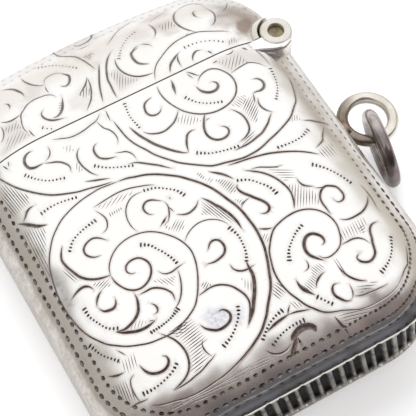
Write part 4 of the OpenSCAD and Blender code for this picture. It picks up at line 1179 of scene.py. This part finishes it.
def makeShell(name, part, cuts, grounds, back, metal):
    # outer face with its grooves, inner face one wall inside, joined all round the edge, and the body's ear
    loop = boundary(part)
    sheet = sheetPoints(part, loop, *sheetForm["engraved" if cuts else "plain"])
    flat, faces, rim = triangulate(loop, np.concatenate([sheet, besideCuts(cuts, loop)]), cuts)
    innerFlat, innerFaces, innerRim = triangulate(loop, sheetPoints(part, loop, *sheetForm["inner"]), [])
    outer, outerNormal = lift(flat, part, depthAt(flat, cuts)[0])
    inner, innerNormal = lift(innerFlat, part, shellForm["wall"])
    earPlaces, earFaces = (np.zeros((0, 3)), np.zeros((0, 3), int)) if part["lid"] else earBlock()
    innerRim = innerRim + len(outer)
    ahead = np.roll(np.arange(len(loop)), -1)
    bridge = np.concatenate([np.stack([rim, innerRim, rim[ahead]], 1),
                             np.stack([rim[ahead], innerRim, innerRim[ahead]], 1)])
    places = np.concatenate([outer, inner, earPlaces])
    normals = np.concatenate([outerNormal, -innerNormal, np.zeros_like(earPlaces)])
    bridge = bridge if part["lid"] else bridge[:, ::-1]
    triangles = np.concatenate([faces, innerFaces[:, ::-1] + len(outer), bridge,
                                earFaces + len(outer) + len(inner)])

    # tone of the cut that a face lies in; low on the case the groove walls that face up stay bright
    middles = flat[faces].mean(1)
    sunk, which = depthAt(middles, cuts)
    tone, bright = [np.array([cut[key] for cut in cuts] + [0.0])[which] for key in ("tone", "bright")]
    upward = facing(outer[faces])[:, 1] - outerNormal[faces].mean(1)[:, 1] > wearAndShadeLook["upward"]
    tone *= 1.0 - bright * upward * fade(-middles[:, 1], *wearAndShadeLook["bright"])
    shade, bloom = shadeAt(flat, cuts, grounds, part)
    # painted shade: brown along both lips of the seam
    shade[atSeam(flat)] = wearAndShadeLook["seam"]
    # painted shadow: the ear's wall, below the top by the given depth, is browned in full
    earShade = np.where(earPlaces[:, 2] < earForm["top"] - earForm["shadowedBelowTop"], 1.0, 0.0)
    untouched = np.zeros(len(inner) + len(earPlaces))

    # values of the inner, bridge and ear faces follow those of the outer ones; the bridge faces round the
    # edge take the cut's full dark as painted shade for the gaps of the seams
    rest = [len(innerFaces), len(bridge), len(earFaces)]
    smooth = np.concatenate([sunk <= 0, np.repeat([True, False, False], rest)])
    lining = np.repeat([0, 1, 0, 0], [len(faces)] + rest)
    tones = np.concatenate([tone, np.repeat([0.0, 1.0, 0.0], rest)])
    if back:
        places, normals, triangles = places * (1, 1, -1), normals * (1, 1, -1), triangles[:, ::-1]
    mesh = newMesh(name, places, triangles.tolist(), metal, gilt)
    mesh.polygons.foreach_set("material_index", lining.astype(np.int32))
    paint(mesh, "cut", np.repeat(tones, 3), "CORNER")
    paint(mesh, "shade", np.concatenate([shade, np.zeros(len(inner)), earShade]))
    paint(mesh, "worn", np.concatenate([wearAndShadeAt(flat, part), untouched]))
    paint(mesh, "bloom", np.concatenate([bloom, untouched]))
    edgeOf = np.zeros(len(mesh.loops), np.int32)
    mesh.loops.foreach_get("edge_index", edgeOf)
    sharp = np.zeros(len(mesh.edges), bool)
    sharp[edgeOf.reshape(-1, 3)[~smooth].ravel()] = True
    paint(mesh, "sharp_edge", sharp, "EDGE", "BOOLEAN")
    own = facing(places[triangles])[:, None, :]
    wanted = np.where(smooth[:, None, None], normals[triangles], own)
    mesh.normals_split_custom_set(wanted.reshape(-1, 3).tolist())
    print(name, len(triangles), "triangles,", len(cuts), "cuts")
    return mesh


for part, grounds, patches in ((bodyPart, bodyGrounds, bodyPatches), (lidPart, lidGrounds, lidPatches)):
    grounds += [(part["hatchGrey"] * dark, outline) for angle, pitch, dark, outline in patches]
bodyCuts = engraving(bodyPart, bodyStrokes, bodyRows, bodyPatches)
lidCuts = engraving(lidPart, lidStrokes, lidRows, lidPatches)
print("engraving laid out:", len(bodyCuts) + len(lidCuts), "cuts")
addPiece(makeShell("bodyFront", bodyPart, bodyCuts, bodyGrounds, False, silver),
         "case", "body_front")
addPiece(makeShell("bodyBack", bodyPart, [], [], True, plainSilver), "case", "body_back")
addPiece(makeShell("lidFront", lidPart, lidCuts, lidGrounds, False, lidSilver),
         "lid", "lid_front")
addPiece(makeShell("lidBack", lidPart, [], [], True, plainSilver), "lid", "lid_back")


def gridQuads(rows, columns, closed=False):
    # quads of a grid that is joined round its columns, and round its rows too if closed
    i, j = np.meshgrid(np.arange(rows if closed else rows - 1), np.arange(columns), indexing="ij")
    a, b = (i + 1) % rows, (j + 1) % columns
    return np.stack([i * columns + j, i * columns + b, a * columns + b, a * columns + j], -1).reshape(-1, 4)


# Striking bar: fluted face between two thin rims, with a cove between the upper rim and the shell painted
# dark as shade and dark reflection.
# Cove and foot are (distance out, height); of other pairs the second is a span or what is added
strikerForm = {"out": 9.0, "face": 3.2, "rim": 0.22, "pitch": 1.16, "half": 0.41, "deep": 0.42, "wrap": 40.0,
               "wander": 0.035, "uneven": 0.14, "lean": 11.0, "ledge": 0.14, "faceFrom": 8.7, "faceRows": 46,
               "fineRows": (-3.03, -2.97, -2.91), "stepsPerRib": 13, "foot": (7.9, 1.4),
               "coveShadeEnd": (8.86, 0.06), "upperRim": 0.12, "lowerRim": 0.30, "rimSoft": 0.08,
               "upperEnds": (0.14, 0.8), "ledgeLow": (-3.04, 0.1), "ledgeHigh": (3.1, 0.2), "endRun": 1.3,
               "endOut": (8.32, 0.68), "endHigh": (0.84, 0.16),
               "cove": [(7.80, 2.80), (8.05, 2.70), (8.35, 2.76), (8.62, 2.96), (8.80, 3.17), (8.90, 3.28),
                        (8.97, 3.28), (9.00, 3.20)]}
# of these, the two cove colours are painted shade and dark reflection
strikerLook = {"ridge": (0.52, 0.49, 0.45), "worn": (0.17, 0.16, 0.155), "soot": (0.008, 0.008, 0.009),
               "coveShade": (0.16, 0.158, 0.172), "coveShadeDeep": (0.105, 0.102, 0.102), "rim": (0.92, 0.90, 0.84)}


def makeStriker(name, metal):
    # section (distance out, height) carried along the base and round its corners; each groove is a capsule
    # on the face, sunk like a round gouge: depth times the root of one minus the squared distance to its line
    f, coreX = strikerForm, shellForm["coreX"]
    cove = smoothPath(f["cove"], 0.09)
    face = np.append(np.linspace(-f["face"], f["face"], f["faceRows"])[1:-1], f["fineRows"])
    face = np.column_stack([np.full(len(face), f["out"]), np.sort(face)[::-1]])
    footOut, footHigh = f["foot"]
    foot = [(footOut, -footHigh), (footOut, footHigh)]
    section = np.concatenate([cove, face, (cove * (1, -1))[::-1], foot])
    # painted shade and dark reflection: over the cove, fading out just before the face, and full on the foot
    coveShadeEnd, coveShadeSoft = f["coveShadeEnd"]
    dark = np.clip((coveShadeEnd - cove[:, 0]) / coveShadeSoft, 0, 1)
    coveShade = np.concatenate([dark, np.zeros(len(face)), dark[::-1], [1.0, 1.0]])
    tall = section[:, 1]
    rims = np.where(tall > 0, tall - f["face"] + f["upperRim"], -tall - f["face"] + f["lowerRim"])
    rim = np.clip(rims / f["rimSoft"], 0.0, 1.0) * (section[:, 0] > f["faceFrom"])
    half = coreX + f["out"] * math.radians(f["wrap"])
    count = int((half - f["half"]) / f["pitch"])
    s = np.linspace(-half, half, int(2 * half / f["pitch"] * f["stepsPerRib"]))
    turn = (np.sign(s) * np.maximum(np.abs(s) - coreX, 0.0) / f["out"])[:, None]
    along, out = np.meshgrid(s, section[:, 0], indexing="ij")
    high = np.broadcast_to(tall, along.shape)
    phase = along + high * math.tan(math.radians(f["lean"]))
    number = np.clip(np.round(phase / f["pitch"]), -count, count)
    # cut by hand: the grooves wander by sines of their number, and their widths differ
    nearest = number * f["pitch"] + f["wander"] * (np.sin(2.3 * number) + np.sin(5.1 * number))
    wide = f["half"] * (1 + f["uneven"] * np.sin(3.7 * number + 1))
    ends = f["face"] - f["rim"] - f["half"]
    longer, slower = f["upperEnds"]
    beyond = np.maximum(-high - ends, 0.0) + np.maximum(high - ends - longer, 0.0) * slower
    apart = np.hypot(phase - nearest, beyond) / wide
    gouge = f["deep"] * np.sqrt(np.clip(1 - apart ** 2, 0.0, 1.0))
    ledgeTop, ledgeSoft = f["ledgeHigh"]
    ledge = f["ledge"] * fade(high, *f["ledgeLow"]) * np.clip((ledgeTop - high) / ledgeSoft, 0.0, 1.0)
    onFace = out > f["faceFrom"]
    away = np.where(onFace, np.minimum(out, f["out"] - ledge - gouge), out)
    # both ends come down to the shoulder, along a quarter circle
    ending = np.clip((half - np.abs(s)) / f["endRun"], 0.0, 1.0)[:, None]
    rise = np.sqrt(1 - (1 - ending) ** 2)
    away = np.minimum(away, f["endOut"][0] + f["endOut"][1] * rise)
    x = np.clip(s, -coreX, coreX)[:, None] + away * np.sin(turn)
    y = -bodyPart["run"] - away * np.cos(turn)
    z = high * (f["endHigh"][0] + f["endHigh"][1] * rise)
    rows, columns = along.shape
    quads = gridQuads(rows, columns)
    caps = [tuple(range(columns))[::-1], tuple(range((rows - 1) * columns, rows * columns))]
    mesh = newMesh(name, np.stack([x, y, z], -1).reshape(-1, 3), quads.tolist() + caps, metal)
    for cap in (-2, -1):
        mesh.polygons[cap].use_smooth = False
    sunk = np.where(onFace, gouge, 0.0) * (np.abs(high) <= f["face"])
    paint(mesh, "soot", np.clip(sunk / f["deep"] * 1.5 - 0.15, 0.0, 1.0))
    paint(mesh, "coveShade", np.broadcast_to(coveShade, along.shape))
    paint(mesh, "rim", np.broadcast_to(rim, along.shape))
    print(name, len(quads), "quads,", 2 * count + 1, "grooves")
    return mesh


def strikerMetal(name):
    # worn ridges in clouds, bright rims, mottled painted shade and dark reflection in the cove and on the
    # foot, and soot in the grooves
    look = strikerLook
    made, start, place = newMaterial(name)
    coveShade = carried(start, "coveShade")
    grain = noise(start, place, 1500.0, 3.0).step(0.3, 0.7)
    cloud = noise(start, place, 900.0, 4.0).step(0.38, 0.66)
    patch = noise(start, place, 420.0, 4.0).step(0.42, 0.68)
    colour = carried(start, "rim").tint(cloud.tint(look["ridge"], look["worn"]), look["rim"])
    # the cove and foot take painted shade and dark reflection, mottled
    colour = coveShade.tint(colour, patch.tint(look["coveShade"], look["coveShadeDeep"]))
    dark = carried(start, "soot") * (1.0 - 0.03 * grain)
    endMaterial(start, dark.tint(colour, look["soot"]), 0.26 + dark * 0.1 + cloud * 0.08 + coveShade * 0.2,
                1.0 - dark, bumps(start, grain, 0.12, 0.00004), **{"Specular IOR Level": 0.05})
    return made


addPiece(makeStriker("strikingBar", strikerMetal("strikerSilver")),
         "case", "striker_base")


def makeCrescent(name, metal):
    # plate of the hinge seat: inner and outer radius by angle, raised to both faces with a rounded edge
    c = crescentForm
    turn = np.linspace(c["thin"] + c["tipTurn"], c["ends"], c["steps"])
    way = np.stack([np.cos(np.radians(turn)), np.sin(np.radians(turn))], 1)
    inner, outer, h = np.full(len(turn), c["inner"]), crescentEdge(turn), c["high"]
    soft = np.minimum(c["soft"], (outer - inner) * 0.3)
    upper = [(inner, h - 0.08), (inner + soft * 0.4, h), (outer - soft, h), (outer - soft * 0.3, h - 0.05),
             (outer, h - 0.16)]
    ring = upper + [(radius, -high) for radius, high in upper[::-1]]
    places = np.stack([level(way * radius[:, None], high) for radius, high in ring], 1).reshape(-1, 3)
    n = len(ring)
    quads = gridQuads(len(turn), n)[:, [0, 3, 2, 1]]
    caps = [tuple(range(n)), tuple(range((len(turn) - 1) * n, len(turn) * n))[::-1]]
    mesh = newMesh(name, places + (shellForm["hingeX"], 0.0, 0.0), quads.tolist() + caps, metal)
    mesh.set_sharp_from_angle(angle=math.radians(c["sharp"]))
    return mesh


# Front and back knuckles of the hinge: tubes with a softened outer edge
knuckleForm = {"bore": 0.80, "outer": 1.65, "soft": 0.28, "boreSoft": 0.07, "steps": 72, "sharp": 40.0}


def makeKnuckle(name, node, metal):
    # outline (radius, height) turned about the hinge line; the softened edge is at the outward end
    k, soft, inner = knuckleForm, knuckleForm["soft"], knuckleForm["boreSoft"]
    heights = [corner[2] * 1000.0 - seat["midZ"] for corner in nodes[node].bound_box]
    low, high = min(heights), max(heights)
    flip = -1.0 if high + low < 0 else 1.0
    top, foot = (high, low) if flip > 0 else (-low, -high)
    bend = np.radians(np.linspace(90.0, 0.0, 7))
    edge = np.stack([k["outer"] - soft + soft * np.cos(bend), top - soft + soft * np.sin(bend)], 1)
    bore = [(k["bore"], foot), (k["bore"], top - inner), (k["bore"] + inner, top)]
    radius, tall = np.concatenate([bore, edge, [(k["outer"], foot)]]).T
    turn = np.linspace(0.0, 2 * math.pi, k["steps"] + 1)[:-1]
    x = np.outer(np.cos(turn), radius) + shellForm["hingeX"]
    y = np.outer(np.sin(turn), radius)
    places = np.stack([x, y, np.broadcast_to(tall * flip, x.shape)], -1).reshape(-1, 3)
    quads = gridQuads(k["steps"], len(radius), True)
    mesh = newMesh(name, places, (quads[:, ::-1] if flip > 0 else quads).tolist(), metal)
    mesh.set_sharp_from_angle(angle=math.radians(k["sharp"]))
    return mesh


addPiece(makeCrescent("lidCrescent", metals["hingeSilver"]), "lid", "lid_bearer")
for name, node in (("frontKnuckle", "hinge_knuckle_front"), ("backKnuckle", "hinge_knuckle_back")):
    addPiece(makeKnuckle(name, node, metals["hingeSilver"]), "case", node)
print("hinge pieces made")


def dress(material, *names):
    # finish of solids that are shown as they are
    for name in names:
        slots = nodes[name].data.materials
        slots.clear()
        slots.append(material)


dress(gilt, "mouth_rim")
dress(metals["hingeSilver"], "lid_knuckle")
dress(metals["pinBrass"], "hinge_pin")
dress(metals["springSteel"], "lid_spring", "spring_rivets")
dress(metals["loopSilver"], "suspension_loop")
# the loop's foot is dark brown
dress(metals["footDarkBrown"], "loop_foot")
dress(metals["ringMetal"], "jump_ring")
print("pieces dressed")

# Studio: white floor, bright sky with a darker side towards the camera, one broad soft lamp
studio = {"floor": (0.72, 0.72, 0.73), "speck": (0.70, 0.70, 0.71), "floorHalf": 0.8, "floorZ": -0.00002,
          "glow": 0.42, "glossyGlow": 0.3, "lamp": 2.2, "lampSize": 0.35, "lampPlace": (0.05, 0.30, 0.60),
          "sky": (1.05, 1.05, 1.05), "low": (0.40, 0.36, 0.32), "right": (0.56, 0.52, 0.45),
          "back": (0.92, 0.89, 0.85), "left": (0.43, 0.41, 0.365), "near": (0.245, 0.195, 0.178),
          "deep": (0.11, 0.11, 0.12)}


def addFloor():
    # matte floor, with a glow that only the camera and, more faintly, reflections see
    made, start, place = newMaterial("floorWhite")
    colour = noise(start, place, 60.0, 2.0).tint(studio["floor"], studio["speck"])
    camera, glossy = [start.node("ShaderNodeLightPath", None, None, ray)
                      for ray in ("Is Camera Ray", "Is Glossy Ray")]
    seen = start.math("MAXIMUM", camera, glossy * studio["glossyGlow"])
    matte = start.node("ShaderNodeBsdfDiffuse", None, {"Color": colour})
    glow = start.node("ShaderNodeEmission", None, {"Strength": seen * studio["glow"]})
    both = start.node("ShaderNodeAddShader", None, {0: matte, 1: glow})
    start.node("ShaderNodeOutputMaterial", None, {"Surface": both})
    mesh = bpy.data.meshes.new("floor")
    h, z = studio["floorHalf"], studio["floorZ"]
    mesh.from_pydata([(-h, -h, z), (h, -h, z), (h, h, z), (-h, h, z)], [], [(0, 1, 2, 3)])
    mesh.materials.append(made)
    floor = bpy.data.objects.new("floor", mesh)
    bpy.context.scene.collection.objects.link(floor)


def addSky():
    # sky colour by direction: each side's mask lays its tone over what comes before
    world = bpy.data.worlds.new("studioSky")
    bpy.context.scene.world = world
    world.use_nodes = True
    world.node_tree.nodes.clear()
    sky = Wire(world.node_tree)
    x, y, z = sky.node("ShaderNodeTexCoord", None, None, "Generated").parts()
    bay = x.step(0.17, 0.33) * x.step(0.95, 0.50) * 0.20    # the dark near side reaches further up here
    colour = studio["sky"]
    for mask, side in ((z.step(0.40, 0.08), "low"), (x.step(0.70, 0.90) * z.step(0.70, 0.25), "right"),
                       (y.step(0.70, 0.95), "back"), (x.step(-0.58, -0.70), "left"),
                       ((y + bay).step(-0.35, -0.41), "near"), (y.step(-0.66, -0.90), "deep")):
        colour = mask.tint(colour, studio[side])
    light = sky.node("ShaderNodeBackground", None, {"Color": colour, "Strength": 1.0})
    sky.node("ShaderNodeOutputWorld", None, {"Surface": light})


def addLamp():
    lamp = bpy.data.lights.new("softBox", "AREA")
    lamp.size = studio["lampSize"]
    lamp.energy = studio["lamp"]
    box = bpy.data.objects.new("softBox", lamp)
    turn = Vector(studio["lampPlace"]).to_track_quat("Z", "Y").to_matrix().to_4x4()
    box.matrix_world = Matrix.Translation(studio["lampPlace"]) @ turn
    box.visible_glossy = False
    bpy.context.scene.collection.objects.link(box)


addFloor()
addSky()
addLamp()
bpy.context.scene.view_settings.view_transform = "Standard"
print("studio set")
